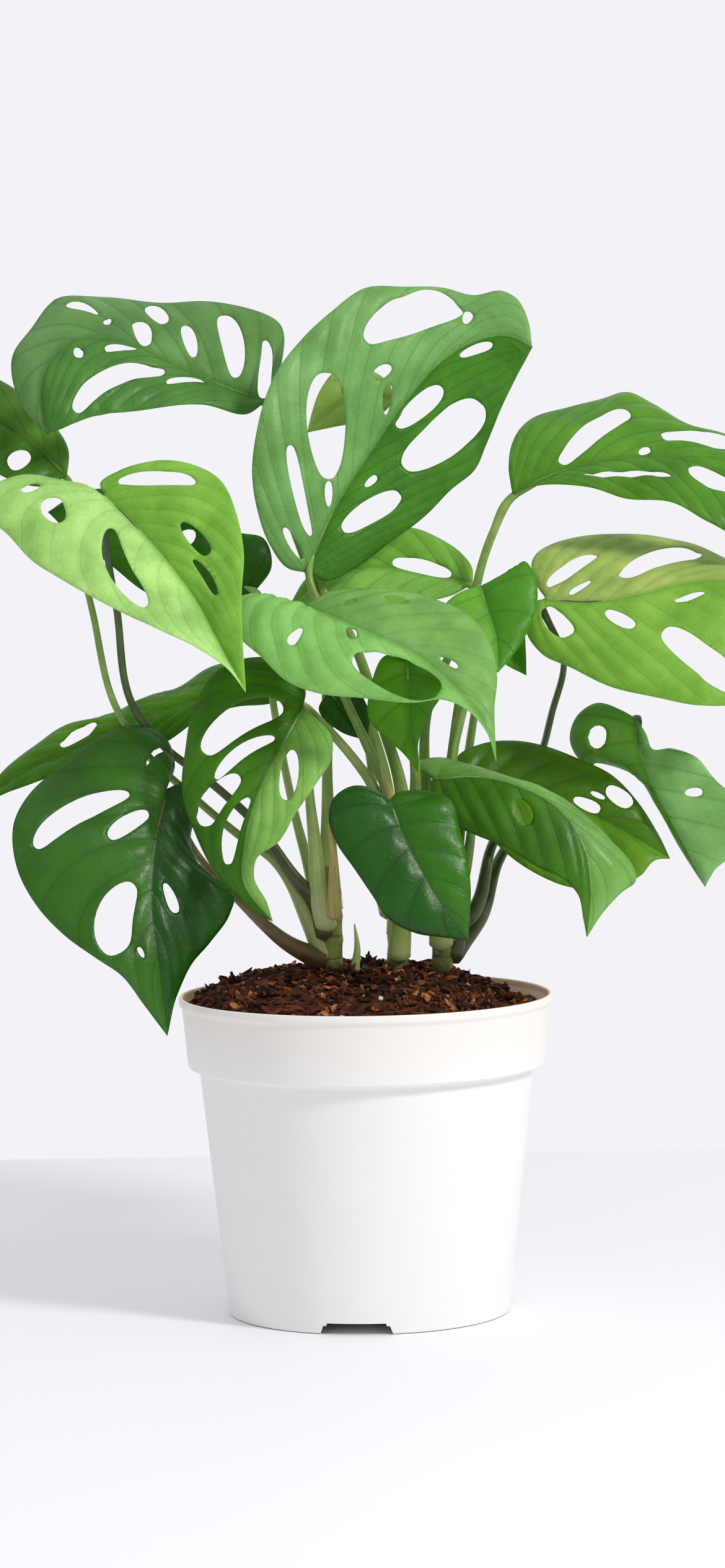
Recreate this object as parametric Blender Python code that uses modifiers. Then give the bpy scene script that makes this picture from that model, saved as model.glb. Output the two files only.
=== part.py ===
"""A potted monstera vine: a white nursery pot, its soil, three short stems, and leaves on their stalks.

Metres, +Z up. The origin is the centre of the pot's foot, and -Y is the plant's front.
The plant is planned in millimetres from the pot's foot, and placed() turns a plan's points into metres.
"""

import math

import bmesh
import bpy
import numpy as np
from mathutils import Vector
from mathutils.geometry import delaunay_2d_cdt

MM = 0.001
GAP = 0.0003  # between pieces that touch

# The pot, a thin moulded shell with a wide band below its lip
POT_HEIGHT = 0.128
LIP_DIAMETER = 0.150
LIP_HEIGHT = 0.0025
BAND_TOP_DIAMETER = LIP_DIAMETER - 0.0025
BAND_BOTTOM_DIAMETER = LIP_DIAMETER - 0.007
BAND_HEIGHT = 0.028
SHOULDER_DIAMETER = LIP_DIAMETER - 0.016
SHOULDER_DROP = 0.0015
BASE_DIAMETER = LIP_DIAMETER - 0.037
POT_WALL = 0.0016
FOOT_HEIGHT = 0.005
PAD_DIAMETER = 0.044  # the middle of the floor, which reaches down to what the pot stands on
PAD_SLOPE = 0.006
NOTCH_COUNT = 3
NOTCH_WIDTH = 0.032
NOTCH_HEIGHT = 0.0044
NOTCH_TOP = 0.78  # a notch's width at its top, as a share of that at the foot
NOTCH_DEPTH = 0.017  # inwards and outwards together
NOTCH_ANGLE = math.radians(-95.5)  # where the first notch is, seen from above
DRAIN_COUNT = 6
DRAIN_DIAMETER = 0.009
DRAIN_SIDES = 12
TURNED_STEPS = 48

# The soil, heaped a little above the lip around the stems
SOIL_DROP = 0.004  # from the lip down to the soil's edge
SOIL_HEAP = 0.009  # from the lip up to the top of the heap
SOIL_FLATNESS = 3.5  # how late the heap falls away towards the wall
SOIL_RINGS = 6

# The plant
PLANNED_POT_HEIGHT = 0.128  # the pot that the plant's points were chosen on
PLANNED_LIP_DIAMETER = 0.150
STEM_RADIUS = 0.0040
STEM_DEPTH = 0.022  # how far a stem reaches down into the soil
BLADE_THICKNESS = 0.0008
STALK_THICK = 0.0020  # radius where a stalk leaves its stem
STALK_THIN = 0.0013  # radius where it meets its leaf
FAN = 1.6  # how strongly the veins fan out from a leaf's base
BULGE = 0.06  # how far each half of a leaf arches, as a share of its width
CELL = 0.0105  # the leaf's facets
HOLE_SIDES = 8
HOLE_TEAR = 0.15  # how much wider a hole is towards the margin than towards the midrib
HOLE_ROUNDNESS = 0.8  # 1 for an oval, less for a fuller shape
INNER_ALONG = (0.06, 0.97)  # where along the leaf its inner points lie
INNER_ACROSS = (0.10, 0.95)  # and where across each half
ROW_POINTS = 12
POINT_SPACING = 0.8  # the least distance between points, as a share of the leaf's facets
STALK_POINTS = 11
STALK_CLEAR = 0.0008  # from a stem to the stalks that spring beside it
STEM_POINTS = 8
SHEATH_POINTS = 6
TUBE_SIDES = 2  # bevel_resolution: eight sides

# The stems: points in millimetres, from the soil's surface up
STEMS = {
    "stem_left": [(-13, 0, 139), (-13, -2, 160), (-14, -2, 180)],
    "stem_centre": [(13, 4, 139), (14, 2, 165), (13, 0, 194)],
    "stem_right": [(31, 0, 139), (31, -2, 160), (30, -3, 188)],
}

# Dry sheaths and a spear-shaped bud at the foot of the stalks: points and the foot's radius, in millimetres
SHEATHS = {
    "sheath_left": ([(-12, -10, 166), (-12, -11, 182), (-14, -12, 198)], 3.0),
    "sheath_centre": ([(13.5, -16.5, 203), (10, -17.5, 212), (7, -19, 222)], 2.4),
    "bud_left": ([(-4, -5, 138.5), (-3, -6, 147), (-4, -8, 157)], 2.2),
}
SHEATH_TIP = 0.12  # the tip's radius, as a share of the foot's
SHEATH_TAPER = 1.5  # how late it narrows

# The leaves, in millimetres. Each has its midrib from base to tip, the two margins between base and tip
# (left and right as seen from above with the tip away), and its stalk: the stem, the height at which it
# leaves it, and the points that it passes on the way to the leaf's base. A hole is (side, end, end, width):
# the half it is in, 1 right and -1 left, and its two ends as (along, across), from 0 at the leaf's base to
# 1 at its tip and from 0 at the midrib to 1 at the margin.
LEAVES = {
    "leaf_top_left": dict(
        midrib=[
            (-36.5, 20, 366), (-50.5, 21, 371), (-71, 22, 380), (-96, 20, 391.5), (-114, 14, 391),
            (-125, 4, 378), (-123.5, -5, 354),
        ],
        left=[(-43.5, 14, 361), (-62, 4, 365), (-85, -2, 363), (-107.5, -6, 360), (-117.5, -7, 356)],
        right=[
            (-31.5, 30, 376), (-30.5, 40, 396.5), (-53, 47, 406), (-78, 48, 406.5), (-102, 44, 409),
            (-120, 36, 409), (-130.5, 24, 396.5), (-138, 12, 384), (-134, 2, 366),
        ],
        holes=[
            (1, (0.06, 0.06), (0.2, 0.66), 5.1),
            (1, (0.25, 0.12), (0.31, 0.8), 9.9),
            (1, (0.4, 0.18), (0.4, 0.61), 5.5),
            (1, (0.56, 0.06), (0.52, 0.51), 7.4),
            (1, (0.45, 0.59), (0.46, 0.89), 8.0),
            (1, (0.61, 0.35), (0.63, 0.34), 3.9),
            (1, (0.62, 0.49), (0.64, 0.83), 1.7),
            (-1, (0.51, 0.33), (0.85, 0.84), 9.6),
            (-1, (0.36, 0.25), (0.5, 0.55), 3.9),
            (-1, (0.6, 0.11), (0.69, 0.21), 4.6),
            (-1, (0.75, 0.26), (0.77, 0.17), 6.1),
        ],
        stem="stem_centre", height=190,
        stalk=[
            (10, 8, 207.5), (2, 7, 239.5), (-9, 5, 261.5), (-16, 6, 282), (-21, 12, 299.5),
            (-28.5, 20, 321.5), (-33.5, 23, 345),
        ],
    ),
    "leaf_far_left": dict(
        midrib=[
            (-117, 18, 337), (-129.5, 24, 349), (-143, 28, 359), (-158, 26, 366), (-173.5, 18, 364),
        ],
        left=[(-125, 14, 333), (-137, 12, 335), (-151, 12, 343), (-164, 14, 354)],
        right=[
            (-116.5, 24, 347), (-123, 32, 358), (-136.5, 38, 371), (-153, 38, 378.5), (-166.5, 28, 374),
        ],
        holes=[
            (-1, (0.41, 0.28), (0.42, 0.78), 8.8),
        ],
        stem="stem_left", height=152,
        stalk=[
            (-22, 0, 158), (-36, 0, 183), (-47, 4, 190.5), (-68.5, 12, 208), (-86.5, 13, 225),
            (-97.5, 9, 242.5), (-107, 4, 284), (-114.5, 8, 318),
        ],
    ),
    "leaf_left_light": dict(
        midrib=[
            (-100, -20, 329.5), (-89, -24, 318.5), (-76, -32, 304), (-63.5, -44, 287.5),
            (-53.5, -57, 269.5), (-44.5, -70, 254),
        ],
        left=[
            (-102, -17, 334), (-94.5, -14, 339), (-79.5, -14, 343), (-64.5, -18, 341),
            (-54.5, -25, 335.5), (-47.5, -34, 320.5), (-45, -42, 306), (-46, -52, 290),
            (-45.5, -61, 273),
        ],
        right=[
            (-107, -17, 333.5), (-117, -15, 336), (-134, -14, 338), (-147, -16, 332),
            (-146.5, -20, 322.5), (-138, -25, 314.5), (-129, -31, 305), (-114.5, -39, 296),
            (-97.5, -48, 287), (-79.5, -56, 278.5), (-63, -64, 271), (-51, -68, 262.5),
        ],
        holes=[
            (-1, (0.36, 0.78), (0.12, 0.53), 6.1),
            (-1, (0.58, 0.5), (0.44, 0.38), 5.9),
            (-1, (0.71, 0.44), (0.57, 0.29), 3.4),
            (1, (0.28, 0.44), (0.31, 0.61), 13.4),
            (1, (0.36, 0.21), (0.69, 0.68), 9.1),
            (1, (0.21, 0.7), (0.25, 0.76), 4),
        ],
        stem="stem_left", height=168,
        stalk=[
            (-24, -5, 172), (-42, 0, 196.5), (-61.5, 9, 214), (-80.5, 12, 229), (-90.5, 10, 242.5),
            (-97, 0, 284), (-100.5, -10, 314),
        ],
    ),
    "leaf_left_dark": dict(
        midrib=[
            (-42.5, 22, 289), (-61, 27, 300), (-83, 29, 311.5), (-105.5, 29, 320.5),
            (-125.5, 27, 322.5),
        ],
        left=[
            (-50.5, 19, 283), (-66.5, 17, 283.5), (-85, 18, 289), (-101, 21, 301.5),
            (-115.5, 24, 312.5),
        ],
        right=[
            (-35.5, 25, 299), (-38.5, 28, 310.5), (-48.5, 31, 313), (-66, 35, 321.5),
            (-91.5, 37, 330.5), (-112, 34, 330.5),
        ],
        holes=[
            (1, (0.5, 0.51), (0.51, 0.19), 5.9),
        ],
        stem="stem_left", height=160,
        stalk=[(-20, 6, 172), (-27, 6, 200), (-31, 5, 220), (-35, 5, 244.5), (-38, 12, 267.5)],
    ),
    "leaf_top_centre": dict(
        midrib=[
            (-21, -4, 297.5), (-9.5, 1, 323), (5.5, 8, 346), (20, 14, 366), (35.5, 20, 382),
            (50, 23, 389.5), (61.5, 21, 390.5), (70.5, 16, 386),
        ],
        left=[
            (-28.5, -7, 299.5), (-35.5, -10, 309), (-40, -12, 322), (-42, -12, 337), (-40, -10, 354),
            (-32, -4, 377), (-22, 2, 390), (-10, 8, 401), (4, 14, 410.5), (20, 20, 411),
            (35.5, 26, 410.5), (47.5, 28, 407.5), (59, 28, 409), (64.5, 25, 406), (69, 20, 397),
        ],
        right=[
            (-14, 1, 294), (-1, 6, 299), (13, 10, 309), (26, 14, 318.5), (37.5, 16, 329.5),
            (46.5, 18, 337), (51.5, 18, 347), (57.5, 18, 361), (64.5, 18, 375),
        ],
        holes=[
            (-1, (0.21, 0.14), (0.33, 0.65), 4.6),
            (-1, (0.34, 0.06), (0.38, 0.18), 3.0),
            (-1, (0.39, 0.17), (0.49, 0.7), 14.9),
            (-1, (0.1, 0.22), (0.16, 0.56), 3.4),
            (-1, (0.6, 0.65), (0.8, 0.8), 15.3),
            (-1, (0.6, 0.39), (0.65, 0.38), 5.0),
            (-1, (0.62, 0.09), (0.64, 0.26), 4.0),
            (-1, (0.83, 0.49), (0.83, 0.68), 3.0),
            (1, (0.84, 0.11), (0.91, 0.19), 4.5),
            (1, (0.63, 0.09), (0.76, 0.23), 8.4),
            (1, (0.54, 0.38), (0.78, 0.73), 16.4),
            (1, (0.45, 0.17), (0.49, 0.21), 2.8),
            (1, (0.29, 0.24), (0.46, 0.55), 9.6),
        ],
        stem="stem_centre", height=176,
        stalk=[(5.5, 1, 192), (3.5, 1, 222.5), (0, -1, 242.5), (-6, -4, 262.5), (-15, -7, 282)],
    ),
    "leaf_top_behind": dict(
        midrib=[(15.5, 38, 366), (4, 42, 368), (-8, 44, 364), (-20.5, 44, 353)],
        left=[(11, 36, 361), (0, 37, 357), (-10, 40, 355)],
        right=[(12.5, 42, 373), (4, 45, 378.5), (-6, 46, 379.5), (-14.5, 46, 371), (-18.5, 46, 361)],
        stem="stem_centre", height=184,
        stalk=[
            (16, 10, 205), (7, 14, 239), (-6, 9, 275.5), (-15, 9, 290), (-15, 14, 303),
            (-12, 22, 314.5), (-4, 30, 330.5), (8, 36, 350),
        ],
    ),
    "leaf_top_right": dict(
        midrib=[
            (61.5, 10, 328), (80.5, 12, 336), (104.5, 14, 341), (129, 14, 341), (150.5, 10, 332),
            (176, 0, 303),
        ],
        left=[
            (60.5, 16, 338), (63, 28, 349), (71.5, 40, 358), (87, 50, 362), (100.5, 54, 365),
            (110, 54, 367.5), (121, 50, 362.5), (135, 42, 354), (150.5, 34, 349), (164, 22, 336.5),
            (173, 10, 321),
        ],
        right=[
            (68, 6, 330), (79, 3, 331), (92, 0, 330), (106, -3, 325.5), (126.5, -5, 323),
            (139.5, -6, 315), (151.5, -5, 309), (165, -2, 304),
        ],
        holes=[
            (-1, (0.32, 0.07), (0.47, 0.64), 10.4),
            (-1, (0.56, 0.04), (0.58, 0.12), 3.6),
            (-1, (0.58, 0.41), (0.72, 0.78), 11),
            (1, (0.34, 0.42), (0.6, 0.49), 3.3),
            (1, (0.67, 0.25), (0.8, 0.24), 10),
        ],
        stem="stem_right", height=180,
        stalk=[
            (33, 5, 199.5), (36, 6, 221.5), (39, 5, 242.5), (44, 8, 267.5), (47, 9, 291.5),
            (53.5, 10, 311.5),
        ],
    ),
    "leaf_right_light": dict(
        midrib=[
            (74, -4, 286), (91.5, -6, 284.5), (111.5, -8, 287.5), (131.5, -8, 292), (149.5, -6, 292),
            (170, -2, 283), (187, 0, 264),
        ],
        left=[
            (70, 4, 292), (69, 12, 299.5), (77, 24, 306.5), (91.5, 34, 309.5), (110, 38, 310),
            (130.5, 36, 307), (148.5, 32, 300), (166, 24, 291), (179, 12, 278.5),
        ],
        right=[
            (68, -2, 284), (66, -5, 273), (71.5, -10, 264.5), (83, -18, 259), (98.5, -26, 251.5),
            (116, -32, 247.5), (135.5, -34, 244), (153.5, -30, 245), (172.5, -18, 252),
        ],
        holes=[
            (-1, (0.12, 0.3), (0.34, 0.58), 6.6),
            (-1, (0.21, 0.09), (0.31, 0.24), 3.3),
            (-1, (0.41, 0.23), (0.6, 0.72), 13),
            (1, (0.11, 0.31), (0.25, 0.57), 7.9),
            (1, (0.36, 0.17), (0.45, 0.38), 5.3),
            (1, (0.57, 0.17), (0.65, 0.13), 2.8),
            (1, (0.53, 0.42), (0.68, 0.89), 13.5),
        ],
        stem="stem_right", height=150,
        stalk=[
            (36, 2, 153), (43, 0, 160), (51, 6, 185.5), (60.5, 24, 202), (70, 27, 216.5),
            (76.5, 14, 239.5), (81, 2, 262),
        ],
    ),
    "leaf_centre": dict(
        midrib=[
            (-22, -22, 285), (-8, -32, 279.5), (5, -40, 274), (19.5, -48, 267.5), (32, -55, 258),
            (42.5, -61, 246.5), (49.5, -65, 235.5), (52, -66, 225.5),
        ],
        left=[
            (-8, -18, 290.5), (8, -18, 291.5), (22, -20, 289.5), (35.5, -26, 285), (45, -33, 278.5),
            (51, -42, 269), (53, -50, 257.5), (51.5, -60, 243.5),
        ],
        right=[
            (-29.5, -20, 284), (-36.5, -22, 285.5), (-45.5, -28, 290), (-51, -34, 286.5),
            (-49, -42, 276), (-39, -48, 266.5), (-29, -52, 257), (-17.5, -56, 252.5), (0, -60, 250.5),
            (19.5, -63, 248.5), (32, -64, 249.5), (41.5, -65, 245), (48.5, -66, 236.5),
        ],
        holes=[
            (1, (0.38, 0.71), (0.34, 0.45), 3.8),
            (1, (0.42, 0.16), (0.44, 0.08), 8.3),
            (1, (0.52, 0.41), (0.78, 0.57), 15.6),
            (-1, (0.25, 0.26), (0.26, 0.42), 3.2),
            (-1, (0.32, 0.62), (0.39, 0.68), 4.2),
            (-1, (0.68, 0.21), (0.72, 0.36), 2.2),
        ],
        stem="stem_centre", height=168,
        stalk=[(14, -10, 183), (9.5, -12, 211), (2, -14, 229), (-6, -15, 247), (-12, -16, 263)],
    ),
    "leaf_arching": dict(
        midrib=[
            (45.5, 16, 291.5), (28.5, 22, 294.5), (8, 24, 298), (-10, 22, 295.5), (-28.5, 18, 283.5),
        ],
        left=[(38, 13, 287.5), (20, 13, 283.5), (2, 14, 282.5), (-16, 16, 280.5)],
        right=[
            (45.5, 20, 297.5), (41.5, 26, 303), (33.5, 30, 309), (20.5, 33, 314), (5, 33, 310),
            (-10, 30, 302), (-22.5, 24, 293),
        ],
        holes=[
            (1, (0.56, 0.2), (0.25, 0.11), 5.5),
        ],
        stem="stem_right", height=186,
        stalk=[(26, 10, 204), (27, 15, 242), (37.5, 15, 267.5)],
    ),
    "leaf_inner_right": dict(
        midrib=[(48, -8, 291.5), (50.5, -14, 282.5), (53.5, -20, 272), (54, -28, 258)],
        left=[
            (54, -5, 294), (61, -5, 298), (65.5, -6, 301), (69, -8, 296.5), (70.5, -12, 287.5),
            (68.5, -17, 278.5), (63.5, -21, 269), (58.5, -25, 262.5),
        ],
        right=[
            (41, -10, 289.5), (33, -14, 283.5), (31.5, -20, 273), (39.5, -26, 265.5),
            (47.5, -28, 260.5),
        ],
        stem="stem_right", height=172,
        stalk=[(36, -5, 193), (36, 0, 222.5), (41, -2, 243.5), (47, -3, 270)],
    ),
    "leaf_inner_tip": dict(
        midrib=[(55.5, 18, 281.5), (59.5, 18, 269), (66.5, 12, 254.5)],
        left=[(60.5, 21, 285), (65.5, 20, 275), (66.5, 16, 264)],
        right=[(50.5, 18, 277), (51.5, 15, 266.5), (57.5, 12, 259.5)],
        stem="stem_right", height=166,
        stalk=[(38, 8, 187.5), (42.5, 18, 221), (46.5, 18, 245), (50.5, 22, 267)],
    ),
    "leaf_fingered": dict(
        midrib=[
            (-23, -20, 245), (-31.5, -30, 230), (-40, -38, 214), (-46, -43, 195.5), (-47, -45, 177.5),
            (-36, -42, 162),
        ],
        left=[
            (-19, -24, 241.5), (-12, -30, 234), (-12, -36, 225.5), (-17.5, -42, 217),
            (-26.5, -46, 204.5), (-33, -48, 194), (-42, -48, 187), (-43, -47, 180.5), (-38, -44, 169.5),
        ],
        right=[
            (-22, -16, 251), (-24, -13, 257.5), (-34, -13, 263.5), (-47.5, -15, 264), (-58.5, -17, 258),
            (-66.5, -20, 245), (-70, -25, 227.5), (-71, -30, 210.5), (-66, -35, 196), (-59, -39, 182.5),
            (-50, -41, 172), (-42, -42, 165),
        ],
        holes=[
            (1, (0.23, 0.22), (0.51, 0.74), 12.5),
            (1, (0.36, 0.1), (0.57, 0.56), 5.5),
            (1, (0.55, 0.27), (0.7, 0.78), 10.4),
            (1, (0.61, 0.09), (0.81, 0.42), 6.6),
            (-1, (0.36, 0.23), (0.52, 0.68), 7.3),
        ],
        stem="stem_left", height=172,
        stalk=[(-19, -8, 186.5), (-21, -11, 209), (-22, -14, 231)],
    ),
    "leaf_low_left": dict(
        midrib=[
            (-78, -2, 212), (-82.5, -18, 191.5), (-84, -28, 168), (-81.5, -34, 144), (-78.5, -32, 116),
        ],
        left=[
            (-71, 2, 214), (-66, 0, 205), (-69, -4, 192.5), (-65.5, -8, 181.5), (-58.5, -10, 175),
            (-51.5, -12, 170), (-53.5, -15, 162.5), (-61.5, -21, 152), (-69, -26, 143),
            (-75, -30, 130.5),
        ],
        right=[
            (-75, 5, 221.5), (-80.5, 8, 233.5), (-92.5, 6, 237), (-105, 2, 233), (-119.5, -5, 222.5),
            (-132, -12, 212), (-138.5, -20, 199.5), (-137, -26, 182.5), (-129, -30, 168),
            (-118, -34, 156.5), (-106, -37, 148), (-96, -37, 141), (-87.5, -35, 129),
        ],
        holes=[
            (1, (0.31, 0.37), (0.53, 0.84), 9.0),
            (1, (0.32, 0.13), (0.47, 0.34), 7.0),
            (1, (0.59, 0.14), (0.79, 0.61), 14.7),
            (1, (0.77, 0.25), (0.8, 0.24), 2.0),
            (-1, (0.56, 0.15), (0.64, 0.36), 4.9),
            (1, (0.08, 0.84), (0.2, 0.46), 2.1),
        ],
        stem="stem_left", height=143,
        stalk=[(-30, -5, 149.5), (-50, -4, 167.5), (-68, -1, 188), (-75, 1, 203)],
    ),
    "leaf_left_back": dict(
        midrib=[
            (-28, 16, 248), (-50.5, 26, 248.5), (-81.5, 32, 241), (-112, 34, 227.5), (-137, 30, 217),
            (-155.5, 20, 204.5),
        ],
        left=[
            (-36, 15, 244.5), (-50.5, 20, 243), (-64, 22, 239), (-78, 24, 229.5), (-101.5, 26, 219),
            (-126.5, 24, 215), (-143.5, 20, 209.5),
        ],
        right=[
            (-28.5, 22, 256), (-42.5, 34, 260.5), (-61.5, 42, 258), (-76.5, 46, 249), (-90, 47, 245),
            (-105.5, 48, 238), (-118.5, 46, 236), (-134.5, 40, 226.5), (-147, 30, 216),
        ],
        holes=[
            (1, (0.67, 0.45), (0.78, 0.32), 5.7),
        ],
        stem="stem_centre", height=178,
        stalk=[
            (8.5, -8.5, 200.5), (4, -10, 212.5), (-2, -15, 222), (-10, -17, 232), (-19, -13, 241.5),
            (-25, 8, 245.5),
        ],
    ),
    "leaf_under_centre": dict(
        midrib=[(18.5, -32, 263.5), (18.5, -32, 250), (19, -33, 236), (22, -34, 219)],
        left=[(26.5, -32, 265.5), (33.5, -33, 254), (27.5, -33, 243), (22.5, -34, 232.5)],
        right=[(10, -30, 265.5), (4, -28, 253.5), (3, -28, 240), (9, -30, 233), (16.5, -33, 226.5)],
        stem="stem_centre", height=180,
        stalk=[(20, -8, 200.5), (21, -17, 217), (19.5, -24, 235.5), (19, -26, 249.5)],
    ),
    "leaf_small_inner": dict(
        midrib=[(-13, -9, 250.5), (-7, -9, 242.5), (2, -10, 230.5)],
        left=[(-4, -9, 252.5), (3, -9, 241.5)],
        right=[(-17, -8, 243.5), (-9, -9, 234.5)],
        stem="stem_left", height=178,
        stalk=[(-14, 4, 199.5), (-14, 3, 218), (-13, 1, 236)],
    ),
    "leaf_heart": dict(
        midrib=[
            (10.5, -44, 209.5), (15.5, -50, 196.5), (23.5, -55, 181), (32, -57, 167), (40.5, -56, 155),
        ],
        left=[
            (13.5, -42, 212), (19.5, -41, 213), (28.5, -42, 212), (35, -45, 208.5), (37.5, -48, 199),
            (40, -52, 188.5), (41.5, -55, 175.5), (41, -56, 163.5),
        ],
        right=[
            (7, -42, 212), (2, -41, 214), (-5, -42, 214.5), (-11.5, -44, 210.5), (-13.5, -47, 203),
            (-10.5, -51, 193.5), (-4, -54, 184), (3, -57, 173.5), (9.5, -58, 164), (19.5, -59, 158.5),
            (30, -58, 156.5),
        ],
        stem="stem_centre", height=157,
        stalk=[(16, -15, 173.5), (14, -26, 190.5), (13, -36, 203)],
    ),
    "leaf_low_right": dict(
        midrib=[
            (28, -14, 215), (44.5, -22, 216.5), (59, -30, 214), (77.5, -40, 204), (86, -46, 191),
            (88.5, -49.5, 174.5), (87, -50, 155),
        ],
        left=[
            (20, -8, 220.5), (30, -7, 223), (42, -10, 220.5), (59.5, -16, 216), (74, -24, 210.5),
            (86.5, -30, 202.5), (97, -36, 191.5), (106, -40, 181.5), (107, -43, 176.5),
            (100.5, -46, 171.5), (93, -49, 164),
        ],
        right=[
            (26, -18, 206.5), (33.5, -24, 199), (44.5, -32, 194), (55, -38, 190), (68.5, -44, 182),
            (79, -50, 177), (84, -53, 171), (85.5, -52, 162.5),
        ],
        holes=[
            (1, (0.51, 0.25), (0.57, 0.51), 7.6),
        ],
        stem="stem_right", height=164,
        stalk=[(30, -10, 183), (30, -11, 201)],
    ),
    "leaf_low_right_back": dict(
        midrib=[
            (40, 6, 212.5), (60, 6, 210), (82, 2, 203), (102, -4, 193.5), (113.5, -9, 187),
            (122, -12, 182),
        ],
        left=[
            (38, 10, 221.5), (47.5, 14, 227), (60.5, 16, 228), (75.5, 15, 225), (88.5, 12, 220),
            (100.5, 8, 214), (110, 3, 204), (117, -2, 193),
        ],
        right=[
            (44, 2, 200), (54, -2, 187), (68, -6, 176.5), (83.5, -10, 170.5), (99.5, -14, 171.5),
            (110, -16, 175.5), (116, -14, 181.5),
        ],
        holes=[
            (-1, (0.63, 0.15), (0.73, 0.18), 4.8),
            (-1, (0.67, 0.69), (0.77, 0.77), 7.7),
            (-1, (0.65, 0.43), (0.7, 0.49), 2.3),
        ],
        stem="stem_right", height=167,
        stalk=[(40.5, 1, 179), (43, 3, 195)],
    ),
    "leaf_curled_right": dict(
        midrib=[
            (110.5, 10, 236.5), (111, 4, 225.5), (115, -4, 212.5), (122.5, -12, 197), (129.5, -20, 183),
            (135, -24, 171.5),
        ],
        left=[
            (114, 4, 230.5), (116, 0, 225), (123.5, -6, 225.5), (132.5, -8, 222.5), (140.5, -10, 213),
            (149, -14, 205), (153.5, -20, 195.5), (147, -24, 185), (139, -26, 178.5),
        ],
        right=[
            (104, 16, 240), (95, 20, 242.5), (87, 22, 237.5), (84, 22, 227.5), (88, 20, 219.5),
            (97.5, 14, 218.5), (108.5, 6, 214.5), (117, -4, 202.5), (126, -14, 186),
        ],
        holes=[
            (1, (0.29, 0.68), (0.28, 0.42), 6.7),
            (-1, (0.58, 0.38), (0.56, 0.63), 4.3),
        ],
        stem="stem_right", height=144,
        stalk=[
            (37, 5, 145.5), (46, 10, 157), (54.5, 18, 179.5), (69, 30, 197.5), (86.5, 32, 211.5),
            (102, 24, 227.5),
        ],
    ),
}


def material(name, colour, roughness):
    made = bpy.data.materials.new(name)
    made.use_nodes = True
    shader = made.node_tree.nodes["Principled BSDF"]
    shader.inputs["Base Color"].default_value = (*colour, 1.0)
    shader.inputs["Roughness"].default_value = roughness
    shader.inputs["Metallic"].default_value = 0.0
    made.diffuse_color = (*colour, 1.0)
    return made


def add_mesh(name, mesh, collection, look=None):
    obj = bpy.data.objects.new(name, mesh)
    collection.objects.link(obj)
    if look:
        mesh.materials.append(look)
    return obj


# Smooth lines -------------------------------------------------------------------------------------


class Line:
    """A smooth line through chosen points, read by its share of length from 0 to 1."""

    SAMPLES = 240

    def __init__(self, points):
        knots = np.array(points, float)
        gaps = np.linalg.norm(np.diff(knots, axis=0), axis=1)
        places = np.concatenate([[0.0], np.cumsum(gaps)])
        slopes = np.gradient(knots, places, axis=0)
        t = np.linspace(0.0, places[-1], self.SAMPLES)
        i = np.clip(np.searchsorted(places, t, side="right") - 1, 0, len(gaps) - 1)
        s = ((t - places[i]) / gaps[i])[:, None]
        run = gaps[i][:, None]
        self.points = (
            (2 * s**3 - 3 * s**2 + 1) * knots[i]
            + (s**3 - 2 * s**2 + s) * run * slopes[i]
            + (3 * s**2 - 2 * s**3) * knots[i + 1]
            + (s**3 - s**2) * run * slopes[i + 1]
        )
        steps = np.linalg.norm(np.diff(self.points, axis=0), axis=1)
        reached = np.concatenate([[0.0], np.cumsum(steps)])
        self.length = reached[-1]
        self.share = reached / self.length

    def at(self, share):
        return np.stack([np.interp(share, self.share, self.points[:, k]) for k in range(3)], axis=-1)

    def heading(self, share, step=0.01):
        ahead = self.at(np.minimum(share + step, 1.0))
        behind = self.at(np.maximum(share - step, 0.0))
        return unit(ahead - behind)


def unit(vectors):
    return vectors / np.maximum(np.linalg.norm(vectors, axis=-1, keepdims=True), 1e-12)


def placed(points, shift=0.0):
    """A plan's points in metres, carried up with the pot's lip and along by the shift."""
    moved = np.array(points, float) * MM
    moved[:, 2] += POT_HEIGHT - PLANNED_POT_HEIGHT
    return moved + shift


def spread(plan):
    """How far a leaf is carried out when the lip is wider than planned: all the way from the lip outwards."""
    base = np.array(plan["midrib"][0][:2]) * MM
    reach = max(float(np.linalg.norm(base)), MM)
    outside = min(1.0, reach / (PLANNED_LIP_DIAMETER / 2))
    return np.array([*base, 0.0]) / reach * outside * (LIP_DIAMETER - PLANNED_LIP_DIAMETER) / 2


def tube(name, points, radii, collection, look):
    """A tube along the points, as a curve with filled caps."""
    curve = bpy.data.curves.new(name, "CURVE")
    curve.dimensions = "3D"
    curve.bevel_depth = 1.0
    curve.bevel_resolution = TUBE_SIDES
    curve.use_fill_caps = True
    spline = curve.splines.new("POLY")
    spline.points.add(len(points) - 1)
    for point, place, radius in zip(spline.points, points, radii):
        point.co = (*place, 1.0)
        point.radius = radius
    obj = bpy.data.objects.new(name, curve)
    collection.objects.link(obj)
    curve.materials.append(look)
    return obj


# The leaf ------------------------------------------------------------------------------------------


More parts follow.
